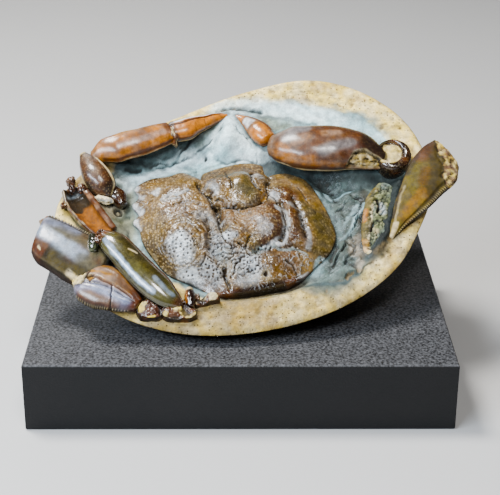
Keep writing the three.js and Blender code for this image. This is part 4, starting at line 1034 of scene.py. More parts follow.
def painted_material(name, grain, mottle, rough, bead=None, wrinkle=None, pore=None, coat=None,
                     contrast=0.3, rich=1.0, dim=1.0, specular=0.2):
    """A surface whose paint and traits come from the mesh, with finer forms on top.

    grain is (size, height), mottle a size, bead, wrinkle and pore (size, height), all in mm;
    rough is the roughness where gloss is 0 and where it is 1, coat the full weight and the
    roughness of a clear coat, rich how strong the paint's hue is and dim how bright it is.
    """
    look = Surface(name)
    traits = look.add("ShaderNodeAttribute")
    traits.attribute_name = "traits"
    split = look.add("ShaderNodeSeparateXYZ", {0: traits.outputs["Vector"]})
    gloss, granular, wear = split.outputs
    paint = look.add("ShaderNodeAttribute")
    paint.attribute_name = "paint"
    fine = look.noise(per_metre(grain[0]), 5)
    clouds = look.ranged(look.noise(per_metre(mottle), 6), 0.3, 0.7,
                         dim * (1 - contrast), dim * (1 + contrast))
    speckle = look.ranged(fine, 0.25, 0.75, 1 - 0.6 * contrast, 1 + 0.6 * contrast)
    hue = look.ranged(look.noise(per_metre(mottle * 1.7), 2), 0.3, 0.7, rich - 0.15, rich + 0.15)
    shade = look.add("ShaderNodeHueSaturation", {
        "Color": paint.outputs["Color"], "Saturation": hue, "Value": look.times(clouds, speckle)})
    colour = shade.outputs["Color"]
    height = look.times(fine, grain[1])
    if bead:
        distance, own = look.spots(per_metre(bead[0]))
        top = look.times(look.ranged(distance, 0.62, 0.12), granular)
        light = look.times(top, look.ranged(own, 0.25, 0.75))
        gap = look.times(granular, look.ranged(distance, 0.3, 0.75))
        # painted shade between the beads
        colour = look.blend(look.times(gap, 0.5), colour, BEAD_GAP_SHADE)
        colour = look.blend(look.times(light, 0.38), colour, BEAD_TOP)
        height = look.plus(height, look.times(top, bead[1]))
    if wrinkle:
        bent = look.noise(per_metre(wrinkle[0]), 3, 0.9)
        from_crest = look.maths("ABSOLUTE", look.maths("SUBTRACT", bent, 0.5), 0.0)
        broken = look.ranged(look.noise(per_metre(wrinkle[0] * 1.6), 2), 0.38, 0.55)
        crest = look.times(look.times(look.ranged(from_crest, 0.03, 0.006), broken), wear)
        dark = look.times(wear, look.ranged(from_crest, 0.05, 0.14))
        # painted shade between the wrinkles, and pale wear on their crests that is also a painted highlight
        colour = look.blend(look.times(dark, 0.45), colour, WRINKLE_FLOOR_SHADE)
        colour = look.blend(look.times(crest, 0.6), colour, WRINKLE_CREST_WEAR_SHEEN)
        height = look.plus(height, look.times(crest, wrinkle[1]))
    if pore:
        distance, own = look.spots(per_metre(pore[0]))
        hole = look.times(look.ranged(distance, 0.3, 0.12), look.ranged(own, 0.62, 0.66))
        hole = look.times(hole, look.ranged(gloss, 0.45, 0.15))
        # painted shade in the pores
        colour = look.blend(look.times(hole, 0.8), colour, PORE_FLOOR_SHADE)
        height = look.maths("SUBTRACT", height, look.times(hole, pore[1]))
    look.fill(look.shader.inputs["Base Color"], colour)
    shine = look.times(look.ranged(gloss, 0.0, 1.0, *rough), look.ranged(fine, 0.3, 0.7, 0.75, 1.3))
    look.fill(look.shader.inputs["Roughness"], shine)
    look.bump(height, MM)
    look.shader.inputs["Specular IOR Level"].default_value = specular
    if coat:
        look.fill(look.shader.inputs["Coat Weight"], look.ranged(gloss, 0.4, 0.9, 0.0, coat[0]))
        look.shader.inputs["Coat Roughness"].default_value = coat[1]
    return look.material


def finish_piece(obj, material, slot, *nodes):
    """Give a piece its material, hang it from the root body and hide the solids that it stands for; slot is
    not used.
    """
    obj.data.materials.append(material)
    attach(obj, "root")
    if nodes:
        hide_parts(*nodes)
    return obj


# ------------------------------------------------------------------------------ nodule
def from_limbs(u, v):
    """Distance out from the nearest limb's outline, below 0 under the limb."""
    best = np.full(np.shape(u), np.inf)
    for stations in list(LIMBS.values()) + [TROUGH]:
        for row in spline(stations, 4):
            best = np.minimum(best, np.hypot(u - row[0], v - row[1]) - row[3])
    return best


def stone_height(u, v, from_rim):
    """Height of the stone's face, before its fine wrinkles."""
    worn = RIM_DROP * (1 - np.clip(from_rim / RIM_REACH, 0, 1)) ** 2
    bench = BENCH_DEPTH * smooth(from_rim, 0, BENCH_REACH)
    du, dv = u - POOL_CENTRE[0], v - POOL_CENTRE[1]
    share = np.hypot(du, dv) / around(POOL_REACH, np.arctan2(dv, du))
    pool = POOL_DEPTH * (1 - smooth(share, POOL_INNER, POOL_OUTER))
    relief = lump_height(STONE_LUMPS, u, v) - groove_depth(STONE_GROOVES, u, v)
    return -worn - bench - pool + smooth(from_rim, 1, 8) * relief


def stone_face(rim):
    """The open face's points, ring by ring inwards from the rim, and what lies where on it."""
    shares = 1 - FACE_INWARD * np.linspace(0, 1, FACE_RINGS) ** 1.1
    spots = rim * shares[:, None, None]
    u, v = spots[:, :, 0].ravel(), spots[:, :, 1].ravel()
    from_rim = (np.linalg.norm(rim, axis=1) * (1 - shares[:, None])).ravel()
    points = np.column_stack((u, v, np.zeros(len(u))))
    wu, wv = wandering(points, 1.2, 6, 60)
    turn = np.arctan2(v, u)
    cream_reach = around(CREAM_REACH, turn)
    ragged = 2.4 * fractal(points, 12, 4, 5) + 1.2 * fractal(points * (1, 1.4, 1), 4, 3, 6)
    cream = 1 - smooth(from_rim + ragged, cream_reach * 0.8, cream_reach * 1.2)
    streak = fractal(np.column_stack((turn * 80 / 7, from_rim, from_rim * 0)), 2.2, 4, 19)
    outline = [tuple(spot) for spot in closed_outline(SHELL_POINTS, 150)]
    from_shell = np.maximum(0, -inside(outline, u, v))
    ditch = np.exp(-(from_shell / DITCH_WIDTH) ** 2) * rearward(v)
    ditch = ditch * smooth(u, -20, -12) * (1 - smooth(u, 30, 38))
    return SimpleNamespace(
        points=points, u=u, v=v, wu=wu, wv=wv, from_rim=from_rim, cream_reach=cream_reach, cream=cream,
        streak=streak, from_shell=from_shell, ditch=ditch, broken=brush(BROKEN_GROUND, u, v, 12))


def stone_relief(face):
    """Folds, chips, ledges, cracks and roughness on the open face."""
    points, u, v, wu, wv, cream = face.points, face.u, face.v, face.wu, face.wv, face.cream
    relief = sum(h * ridge(line, wu, wv, width) for h, width, line in STONE_LINES)
    for outline, rise, (slope_u, slope_v) in CHIPS:
        middle = np.mean(outline, axis=0)
        plane = rise + slope_u * (u - middle[0]) + slope_v * (v - middle[1])
        relief += 1.4 * smooth(inside(outline, wu, wv), -0.4, 0.3) * plane
    phase = line_distance(LAYERS_FROM, wu, wv)
    layers = creases(np.column_stack((phase * 1.6, u * 0.12, v * 0.12)), 2.4, 2, 8)
    relief += brush(LEDGE, u, v, 9) * 0.35 * (layers - 0.3)
    dimple = np.hypot(u - RING_DIMPLE[0], v - RING_DIMPLE[1])
    relief += (1.1 * np.exp(-((dimple - 1.1 * RING_RADIUS) / 0.7) ** 2)
               - 1.5 * np.exp(-((dimple - 0.6 * RING_RADIUS) / 0.8) ** 2))
    relief += (0.45 * fractal(points, 9, 4, 11)
               + (0.16 + 0.3 * face.broken) * (1 - cream) * fractal(points, 3, 3, 12))
    relief += 0.14 * (1 - cream) * face.streak
    return relief - 0.45 * cream * smooth(-fractal(points, 2.4, 3, 15), 0.3, 0.9)


def face_height(face):
    """Height of the finished open face, which stays just below the top of the solids' box."""
    height = stone_height(face.u, face.v, face.from_rim) + smooth(face.from_rim, 1.5, 6) * stone_relief(face)
    bank = BANK_LEVEL + 0.8 * fractal(face.points, 12, 3, 71) + 0.25 * fractal(face.points, 2.4, 2, 72)
    near = np.exp(-(face.from_shell / BANK_REACH) ** 2) * smooth(face.v, -52, -38)
    height += near * np.maximum(0, bank - height)
    height -= REAR_DITCH * face.ditch
    top = cad_box[1][2] / MM - TOP_MARGIN
    highest = (top - FACE_CENTRE[2] - face.v * math.sin(FACE_TILT)) / math.cos(FACE_TILT)
    return np.minimum(height, highest)


def stone_paint(face, high):
    """Colours and traits of the open face; high says how far each point stands out."""
    points, cream, streak = face.points, face.cream, face.streak
    tone = fractal(points, 18, 4, 2)
    stone = layered(
        "blue",
        ("blue pale", smooth(tone + 0.5 * streak, 0.1, 1.1) * 0.8),
        ("blue dark", smooth(-tone - 0.6 * streak, 0.1, 1.3) * 0.75),
        ("floor green", 0.6 * patchy(points, 11, 3, 17, 0.1, 0.9)))
    inner = smooth(face.from_rim / face.cream_reach, 0.35, 1.0)
    buff = layered(
        "cream",
        ("buff", patchy(points, 10, 4, 8, -0.3, 1.0)),
        ("cream dirt and shade", patchy(points, 4, 4, 9, 0.3, 1.2) * 0.7),
        ("floor green", 0.55 * inner * smooth(streak, -0.5, 0.8)),
        # the cream is darker towards the bottom rim, and more so to the left
        ("cream dirt and shade", smooth(-face.v, 34, 62) * (0.55 + 0.27 * smooth(-face.u, -10, 40))))
    # the cream lies over the blue stone, which is paler on its raised spots as a painted highlight
    colours = layered(stone, (buff, cream), ("blue pale", 0.5 * (1 - cream) * smooth(high, 0.1, 0.5)))
    colours, gloss = paint_strokes(colours, 0.6 * (1 - cream), STONE_STROKES, face.wu, face.wv)
    # painted shade: the stone is darkened round each limb, where the limbs shade it
    contact_shade = np.exp(-(np.maximum(0, from_limbs(face.wu, face.wv)) / CONTACT_SHADE_REACH) ** 1.5)
    colours = layered(
        colours,
        (mix("blue black", "cream dirt and shade", cream), 0.75 * contact_shade),
        # painted shade: darker in a line round the shell's edge, in the ditch behind its rear wall and in the
        # stone's hollows
        ("blue dark", 0.6 * np.exp(-(face.from_shell / 1.2) ** 2) * (1 - cream)),
        ("cream dirt and shade", 0.75 * face.ditch),
        ("blue black", 0.85 * (1 - cream) * smooth(-high, 0.1, 0.6)),
        ("cream dirt and shade", 0.85 * cream * smooth(-high, 0.1, 0.5)))
    return colours, trait_columns(gloss, 0.0, 0.22 * (1 - cream) * face.broken)


def nodule_bowl(rim):
    """The plain weathered bowl under the rim: its rings from the flat spot up, and its colours."""
    edge = to_part(np.column_stack((rim, np.full(len(rim), -RIM_DROP)))) / MM
    base = PLINTH_TOP + REST_LIFT
    to_edge = edge[:, :2] - REST_SPOT
    flat = to_edge / np.linalg.norm(to_edge, axis=1)[:, None] * REST_RADIUS
    rings = []
    for t in np.linspace(0, 1, BOWL_RINGS, endpoint=False):
        spot = flat * (1 - t) + to_edge * t + REST_SPOT
        rise = base + (edge[:, 2] - base) * t**2.1
        rings.append(to_face(np.column_stack((spot, rise))))
    rings = np.array(rings)
    placed = to_part(rings.reshape(-1, 3)) / MM
    push = placed - np.array([REST_SPOT[0], REST_SPOT[1], BOWL_MIDDLE])
    push /= np.linalg.norm(push, axis=1)[:, None]
    lumps = 0.8 * fractal(placed, 16, 5, 41) - 0.5 * (1 - creases(placed, 18, 3, 44)) ** 4
    free = np.repeat(np.sin(np.linspace(0, math.pi, BOWL_RINGS, endpoint=False)) ** 0.5, len(rim))
    shift = (lumps - 0.8) * free
    colours = layered(
        "buff",
        ("cream dirt and shade", patchy(placed, 18, 5, 46, -0.5, 1)),
        ("cream", smooth(lumps, 0.3, 1)),
        # painted shade in the bowl's low dents
        ("pit shade", 0.8 * smooth(-lumps, 0.5, 1.3)))
    return to_face(placed + push * shift[:, None]).reshape(rings.shape), colours


def make_nodule(material):
    """The nodule: its bowl and its open face as one mesh, joined at the rim."""
    rim = closed_outline(RIM_POINTS, NODULE_SIDES)
    face = stone_face(rim)
    height = face_height(face)
    colours, traits = stone_paint(face, standing(height.reshape(FACE_RINGS, NODULE_SIDES), 4))
    top = np.column_stack((face.u, face.v, height)).reshape(FACE_RINGS, NODULE_SIDES, 3)
    bowl, bowl_colours = nodule_bowl(rim)
    bowl_traits = trait_columns(np.full(len(bowl_colours), 0.1))
    nodule = ring_object("nodule_stone", np.concatenate((bowl, top)), np.vstack((bowl_colours, colours)),
                         np.vstack((bowl_traits, traits)))
    return finish_piece(nodule, material, "matrix", "nodule")


# ---------------------------------------------------------------------------- carapace
def rearward(v):
    """0 in front of the shell's rear edge and 1 behind it."""
    return smooth(-v, 40, 48)


def shell_plan():
    """A function that gives the shell's outline at a share of its reach, smoother inwards."""
    arm = closed_outline(SHELL_POINTS, SHELL_SIDES) - SHELL_MIDDLE
    reach = np.linalg.norm(arm, axis=1)
    toward = arm / reach[:, None]
    spread = SHELL_SIDES // 14
    mean = np.mean([np.roll(reach, k) for k in range(-spread, spread + 1)], axis=0)

    def plan(share):
        return SHELL_MIDDLE + toward * (share * (mean + (reach - mean) * share**5))[:, None]

    return plan


def shell_zones(spots, shares):
    """The shell's points and what lies where on it."""
    u, v = spots[:, :, 0].ravel(), spots[:, :, 1].ravel()
    points = np.column_stack((u, v, np.zeros(len(u))))
    wu, wv = wandering(points, 1.5, 6, 70)
    wrinkled, pitted = np.zeros(len(u)), np.zeros(len(u))
    for cu, cv, size, height in WRINKLED:
        wrinkled = np.maximum(wrinkled, brush([(cu, cv)], wu, wv, size) * min(1, height + 0.2))
    for cu, cv, size in PITTED:
        pitted = np.maximum(pitted, brush([(cu, cv)], wu, wv, size))
    distance, own = cells(points, 1.9, 33)
    return SimpleNamespace(
        points=points, u=u, v=v, wu=wu, wv=wv, share=np.repeat(shares, SHELL_SIDES), wrinkled=wrinkled,
        pitted=pitted, pit=pitted * (1 - smooth(distance, 0.35, 0.75)) * smooth(own, -0.7, -0.4),
        glassy=brush(FRONT_LOBE, u, v, 7),
        wall=rearward(v) * smooth(u, -18, -12) * (1 - smooth(u, 30, 36)))


def shell_height(zones):
    """Height of the shell's upper side with all its relief."""
    points, u, v, wu, wv, share = zones.points, zones.u, zones.v, zones.wu, zones.wv, zones.share
    relief = lump_height(SHELL_LUMPS, u, v) - groove_depth(SHELL_GROOVES, u, v)
    fine = sum(h * (1.5 if h < 0 else 1) * ridge(line, wu, wv, width) for h, width, line in SHELL_LINES)
    crease = creases(points * (1, 1.3, 1), 3.4, 4, 23)
    for cu, cv, size, height in WRINKLED:
        fine += brush([(cu, cv)], wu, wv, size) * height * (np.minimum(crease, 0.6) - 0.4) * 1.8
    for cu, cv, inner, outer, period, height in RINGED:
        away = np.hypot(wu - cu, wv - cv)
        zone = smooth(away, inner - 1, inner + 1) * (1 - smooth(away, outer - 3, outer))
        fine += zone * height * np.sin(2 * math.pi * away / period + fractal(points, 6, 2, 29))
    rough = 0.3 * fractal(points, 5, 4, 21) + 0.18 * fractal(points, 2, 3, 22)
    fine += rough * (1 - zones.glassy) - 0.6 * zones.pit
    relief = (relief + fine) * (1 - share**6)
    height = SHELL_EDGE + SHELL_CROWN * (1 - share**SHELL_ROUNDNESS) + relief
    return height + REAR_WALL * zones.wall * smooth(share, 0.72, 0.93)


def shell_paint(zones, high, broad):
    """Colours and traits of the shell; high and broad say how far each point stands out of
    its near and its wider surroundings."""
    points, u, v, wrinkled, pitted = zones.points, zones.u, zones.v, zones.wrinkled, zones.pitted
    tone = fractal(points, 13, 4, 3)
    colours = layered(
        "shell brown",
        ("shell tan", smooth(tone, -0.3, 1) * 0.8),
        ("olive", 0.75 * patchy(points, 15, 3, 24, -0.2, 0.8)),
        ("brown grey", np.full(len(u), 0.2)))
    gloss = np.full(len(u), 0.7)
    wear = 0.7 * wrinkled
    for colour, shine, strength, width, line in SHELL_STROKES:
        touch = strength * brush(line, zones.wu, zones.wv, width)
        if colour in PALE:
            wear = np.maximum(wear, 0.5 * touch)
            touch = touch * PALE_STRENGTH
        colours = mix(colours, colour, touch)
        gloss = gloss * (1 - touch) + shine * touch
    worn = np.maximum(wrinkled, pitted)
    tips = sum(brush([spot], u, v, 2) for spot in SPINE_TIPS)
    rear = smooth(zones.share, 0.93, 0.97) * np.clip(zones.wall + 0.5 * rearward(v), 0, 1)
    colours = layered(
        colours,
        ("shell tan", 0.55 * wrinkled * (1 - pitted) * patchy(points, 5, 3, 35, 0, 0.4)),
        ("shell dark", 0.5 * worn * patchy(points, 3, 3, 36, 0.2, 0.6)),
        # pale on the raised spots of worn zones, wear and a painted highlight; lighter on other raised spots,
        # a painted highlight
        ("worn white and sheen", 0.32 * worn * smooth(high, 0.05, 0.3)),
        ("shell tan", 0.4 * (1 - worn) * smooth(high, 0.04, 0.3)),
        # painted shade: darker in near and broad hollows and in the pits
        ("shell dark", 0.9 * smooth(-high, 0.04, 0.32)),
        ("shell dark", 0.65 * smooth(-broad, 0.15, 1.2)),
        ("shell dark", 0.95 * smooth(zones.pit, 0.15, 0.6)),
        ("worn white and sheen", 0.6 * np.clip(tips, 0, 1)),
        (mix("brown", "dark brown", smooth(tone, -0.4, 0.4)), 0.95 * rear))
    gloss = gloss + (0.95 - gloss) * rear
    sleek = np.maximum(0.6 * smooth(u, 6, 22), 0.75 * brush(SLEEK_LOBE, u, v, 7))
    granular = np.clip((0.9 - 0.7 * worn) * (1 - 0.8 * zones.glassy) * (1 - rear) * (1 - sleek), 0, 1)
    return colours, trait_columns(gloss, granular, np.clip(wear, 0, 1))


def make_carapace(material):
    """The shell: a few rings of skirt and floor below, then its upper side to the middle."""
    plan = shell_plan()
    shares = 1 - np.linspace(0.004, 0.97, SHELL_RINGS)
    spots = np.array([plan(share) for share in shares])
    zones = shell_zones(spots, shares)
    height = shell_height(zones).reshape(SHELL_RINGS, SHELL_SIDES)
    colours, traits = shell_paint(zones, standing(height, 3), standing(height, 11))
    # painted shade: the skirt under the shell's edge is darkened, less along the rear wall
    skirt = mix(colours[:SHELL_SIDES], "shell dark", 0.6 - 0.5 * zones.wall[:SHELL_SIDES])
    below = ((0.97, SHELL_FLOOR), (0.985, SHELL_EDGE - 3.5), (1, SHELL_EDGE - SHELL_LIP))
    rings = [np.column_stack((plan(share), np.full(SHELL_SIDES, depth))) for share, depth in below]
    rings += list(np.concatenate((spots, height[:, :, None]), axis=2))
    colours = np.vstack((np.tile(skirt, (len(below), 1)), colours))
    traits = np.vstack((trait_columns(np.full(len(below) * SHELL_SIDES, 0.5)), traits))
    shell = ring_object("carapace_shell", np.array(rings), colours, traits)
    return finish_piece(shell, material, "carapace_shell", "carapace")


# ------------------------------------------------------------------------------- limbs
def limb_rows(stations, spacing):
    """Even steps along a limb: its rows, how far along each is, and its heading there."""
    rows = spline(stations, STEPS_PER_STATION)
    length = np.concatenate(([0], np.cumsum(np.linalg.norm(np.diff(rows[:, :3], axis=0), axis=1))))
    count = max(LEAST_RINGS, int(length[-1] / spacing))
    places = np.linspace(0, length[-1], count)
    rows = np.column_stack([np.interp(places, length, rows[:, k]) for k in range(5)])
    reach = max(2, int(count * HEADING_REACH))
    ahead = rows[np.minimum(np.arange(count) + reach, count - 1), :2]
    behind = rows[np.maximum(np.arange(count) - reach, 0), :2]
    heading = (ahead - behind) / np.linalg.norm(ahead - behind, axis=1)[:, None]
    return rows, places, heading


def limb_surface(stations, section, sides, spacing, caps, slant):
    """Rings of a limb through its stations, rounded over at each end."""
    rows, places, along = limb_rows(stations, spacing)
    count, share = len(rows), places / places[-1]
    bend = np.radians(slant) * (1 - smooth(share, 0, SLANT_REACH))
    across = np.column_stack((-along[:, 1] * np.cos(bend) - along[:, 0] * np.sin(bend),
                              along[:, 0] * np.cos(bend) - along[:, 1] * np.sin(bend)))
    rounding = np.sqrt(1 - CAP_SHARES**2)
    size = np.concatenate((CAP_SHARES, np.ones(count), CAP_SHARES[::-1]))
    index = np.clip(np.arange(-len(CAP_SHARES), count + len(CAP_SHARES)), 0, count - 1)
    first, last = -caps[0] * rows[0, 4] * rounding, caps[1] * rows[-1, 4] * rounding[::-1]
    push = np.concatenate((first, np.zeros(count), last))[:, None]
    turn = np.linspace(0, 2 * math.pi, sides, endpoint=False)
    shape = around(section, turn)
    side = np.outer(rows[index, 3] * size, np.cos(turn) * shape)
    up = np.outer(rows[index, 4] * size, np.sin(turn) * shape)
    across = across[index]
    points = np.empty((len(index), sides, 3))
    points[:, :, :2] = (rows[index, :2] + along[index] * push)[:, None] + side[:, :, None] * across[:, None]
    points[:, :, 2] = rows[index, 2, None] + up
    out = np.empty_like(points)
    out[:, :, :2] = np.cos(turn)[None, :, None] * across[:, None]
    out[:, :, 2] = np.sin(turn)
    return SimpleNamespace(
        points=points.reshape(-1, 3), out=out.reshape(-1, 3), shape=points.shape,
        fade=np.repeat(size, sides), t=np.repeat(share[index], sides),
        along=np.repeat(places[index], sides), turn=np.tile(np.degrees(turn), len(index)))


def band(limb, angle, width, start, end, wobble=0.0):
    """1 in a band along a limb around an angle, between two shares of its length."""
    away = np.abs((limb.turn + wobble - angle + 180) % 360 - 180)
    begins = smooth(limb.t, start - 0.03, start + 0.03) if start > 0 else 1.0
    ends = 1 - smooth(limb.t, end - 0.03, end + 0.03) if end < 1 else 1.0
    return np.exp(-(away / width) ** 4) * begins * ends


def break_patches(limb, patches, seed, above, relief, colours, gloss, granular):
    """Lay patches of broken shell over a limb; above is 0 on its hidden underside."""
    points = limb.points
    for outline, tints, shine, depth, roughness in patches:
        deep = inside(outline, *wandering(points, 0.9, 2.6, seed + 5))
        share = smooth(deep, -0.2, 0.4) * above
        grit = fractal(points, 2.8, 4, seed + 6)
        relief = relief + share * (roughness * grit - depth)
        broken = mix(tints[0], tints[1], patchy(points, 2, 3, seed + 7, -0.5, 0.8))
        # painted shade: darker in the low grit and in a line round the sunk patch's edge
        broken = mix(broken, "olive dark", 0.8 * smooth(-grit, 0.25, 0.9))
        edge = 0.75 * above * np.exp(-((deep + 0.3) / 0.45) ** 2)
        colours = layered(colours, (broken, 0.97 * share), ("near black", edge))
        gloss = gloss * (1 - share) + shine * share
        granular = granular * (1 - share)
    return relief, colours, gloss, granular


def make_limb(name, material, slot, sides=110, spacing=0.36, caps=(0.5, 0.5)):
    """A limb with its relief, bands, strokes, teeth, crumbs and broken patches."""
    look = LIMB_LOOKS[name]
    section = look.get("section", PLAIN_SECTION)
    limb = limb_surface(LIMBS[name], section, sides, spacing, caps, END_SLANT.get(name, 0))
    seed = 100 + 10 * list(LIMB_LOOKS).index(name)
    points = limb.points
    above = smooth(limb.out[:, 2], -0.2, 0.1)
    wobble = 7 * fractal(points, 8, 3, seed)
    wu, wv = wandering(points, 0.5, 4, seed + 1)
    relief = look.get("lumps", 0.14) * fractal(points, 6, 4, seed + 2)
    for height, angle, width, start, end in look.get("relief", ()):
        relief += height * band(limb, angle, width, start, end, 0.3 * wobble)
    for height, width, line in look.get("lines", ()):
        relief += height * ridge(line, wu, wv, width) * above
    first, second, strength = look["base"]
    colours = mix(first, second, strength * patchy(points, 7, 5, seed + 4, -0.5, 0.9))
    gloss = np.full(len(points), look.get("gloss", 0.85))
    for colour, shine, strength, angle, width, start, end in look.get("bands", ()):
        share = strength * band(limb, angle, width, start, end, wobble)
        colours = mix(colours, colour, share)
        gloss = gloss * (1 - share) + shine * share
    if "teeth" in look:
        angle, width, start, end, pitch, height = look["teeth"]
        row = np.abs(np.sin(math.pi * limb.along / pitch + 0.6 * fractal(points, 5, 2, seed + 3)))
        edge = band(limb, angle, width, start, end)
        relief += height * row * edge
        # painted shade between the teeth and a painted highlight on their tips
        colours = layered(colours, ("near black", 0.9 * edge * (1 - row)), ("bone", 0.35 * edge * row**4))
    painted, gloss = paint_strokes(colours, gloss, look.get("strokes", ()), wu, wv)
    colours = mix(colours, painted, above)
    if "crumbly" in look:
        rough = look["crumbly"] * band(limb, 92, 56, 0.02, 1)
        crumbs = creases(points, 3.4, 3, seed + 9)
        relief += rough * (crumbs - 0.45)
        # painted shade in the low crumbs
        colours = mix(colours, "green black", 0.8 * smooth(rough * (0.4 - crumbs), 0, 0.4))
    granular = np.full(len(points), look.get("granular", 0.0))
    relief, colours, gloss, granular = break_patches(
        limb, look.get("patches", ()), seed, above, relief, colours, gloss, granular)
    points = points + limb.out * (relief * limb.fade)[:, None]
    high = standing(relief.reshape(limb.shape[:2]), 3)
    # painted shade in the limb's hollows and a painted highlight on its raised spots
    colours = layered(colours, ("near black", 0.8 * smooth(-high, 0.06, 0.4)),
                      ("bone", 0.25 * smooth(high, 0.12, 0.5)))
    piece = ring_object(name + "_shell", points.reshape(limb.shape), colours, trait_columns(gloss, granular))
    return finish_piece(piece, material, slot, name)


def make_slab(name, material):
    """A broken slab of shell: glossy dark sides and a rough, nearly flat broken top."""
    outline, low, top, (slope_u, slope_v), tints = SLABS[name]
    ring = spline(outline, 40, closed=True)
    ring = ring[np.linspace(0, len(ring), SLAB_SIDES, endpoint=False).astype(int)][::-1]
    middle = ring.mean(axis=0)
    levels = [(1.1, low), (1.12, low * 0.5), (1.08, 0.3 * top), (1.04, 0.75 * top), (1.0, 0.96 * top)]
    levels += [(share, top) for share in np.linspace(0.96, 0.06, 22)]
    rings = np.empty((len(levels), SLAB_SIDES, 3))
    for place, (share, w) in zip(rings, levels):
        place[:, :2] = middle + (ring - middle) * share
        tilt = slope_u * (place[:, 0] - middle[0]) + slope_v * (place[:, 1] - middle[1])
        place[:, 2] = w + tilt * (w > 0)
    points = rings.reshape(-1, 3)
    seed = name_seed(name)
    flat = np.repeat([share < 0.99 for share, _ in levels], SLAB_SIDES).astype(float)
    bumps = fractal(points, 4, 3, seed)
    points[:, 2] += 1.1 * bumps * flat + 0.3 * (1 - flat) * bumps
    for axis in (0, 1):
        points[:, axis] += 0.4 * (1 - flat) * fractal(points, 4, 3, seed + 1 + axis)
    shelly = patchy(points, 6, 3, seed + 3, -0.42, -0.16)
    broken = mix(tints[0], tints[1], shelly)
    # painted shade in the low dents of the broken top
    broken = mix(broken, "dark brown", 0.9 * smooth(-bumps, 0, 0.45))
    side = mix("dark brown", "brown", patchy(points, 4, 3, seed + 4, -0.3, 1))
    colours = mix(side, broken, flat)
    piece = ring_object(name + "_slab", rings, colours, trait_columns(0.6 - 0.4 * flat * (1 - shelly)))
    return finish_piece(piece, material, "brown_shell", name)


def make_wrist(material):
    """The wrist broken open: a ring of shell round its core of stone."""
    profile = spline([row + (0, 0) for row in WRIST_PROFILE], 6)[:, :3]
    turn = np.linspace(0, 2 * math.pi, WRIST_SIDES, endpoint=False)
    circle = np.column_stack((np.cos(turn), np.sin(turn)))
    rings = np.empty((len(profile), WRIST_SIDES, 3))
    for ring, (share, height, shift) in zip(rings, profile):
        ring[:, :2] = WRIST_CENTRE + (-shift, shift) + circle * WRIST_RADII * share
        ring[:, 2] = height
    points = rings.reshape(-1, 3)
    up = np.repeat(profile[:, 1] > 2, WRIST_SIDES).astype(float)
    core = smooth(inside(WRIST_CORE, *wandering(points, 0.5, 3, 5)), -0.3, 0.3) * up
    grit = 0.3 + 0.5 * fractal(points, 3, 4, 7)
    points[:, 2] += core * grit + (1 - core) * 0.25 * fractal(points, 5, 3, 8)
    shell = layered("dark brown", ("brown", patchy(points, 6, 3, 4, -0.3, 1)),
                    ("near black", 0.7 * np.repeat(profile[:, 1] < 1, WRIST_SIDES)))
    stone = layered("cream", ("bone", patchy(points, 4, 3, 6, -0.5, 1)),
                    # painted shade in the core's low grit
                    ("cream dirt and shade", 0.7 * smooth(-fractal(points, 3, 4, 7), 0.3, 0.9)))
    traits = trait_columns(0.9 - 0.8 * core, 0.3 * (1 - core))
    wrist = ring_object("right_claw_wrist_ring", rings, mix(shell, stone, core), traits)
    return finish_piece(wrist, material, "brown_shell", "right_claw_wrist")


def trough_rings(rows, outer_turn, inner_turn):
    """Sections of the trough: along its outer skin and back along its inner one."""
    last = len(rows) - 1
    ahead = np.minimum(np.arange(len(rows)) + TROUGH_LOOK, last)
    behind = np.maximum(np.arange(len(rows)) - TROUGH_LOOK, 0)
    along = rows[ahead, :2] - rows[behind, :2]
    along /= np.linalg.norm(along, axis=1)[:, None]
    across = np.column_stack((-along[:, 1], along[:, 0]))
    thick = TROUGH_WALL + TROUGH_RIGHT_WALL * smooth(np.cos(inner_turn), 0.2, 1)
    rings = np.empty((len(rows), 2 * TROUGH_HALF, 3))
    for k, (u, v, w, a, b) in enumerate(rows):
        t = k / last
        closed = 1 - 0.6 * smooth(t, 0.9, 1) - 0.45 * (1 - smooth(t, 0, 0.06))
        outer = np.column_stack((np.cos(outer_turn) * a, np.sin(outer_turn) * b))
        inner_height = TROUGH_RISE + np.sin(inner_turn) * b * closed
        both = np.vstack((outer, np.column_stack((np.cos(inner_turn) * (a - thick), inner_height))))
        rings[k, :, :2] = np.array([u, v]) + both[:, :1] * across[k]
        rings[k, :, 2] = w + both[:, 1]
    return rings


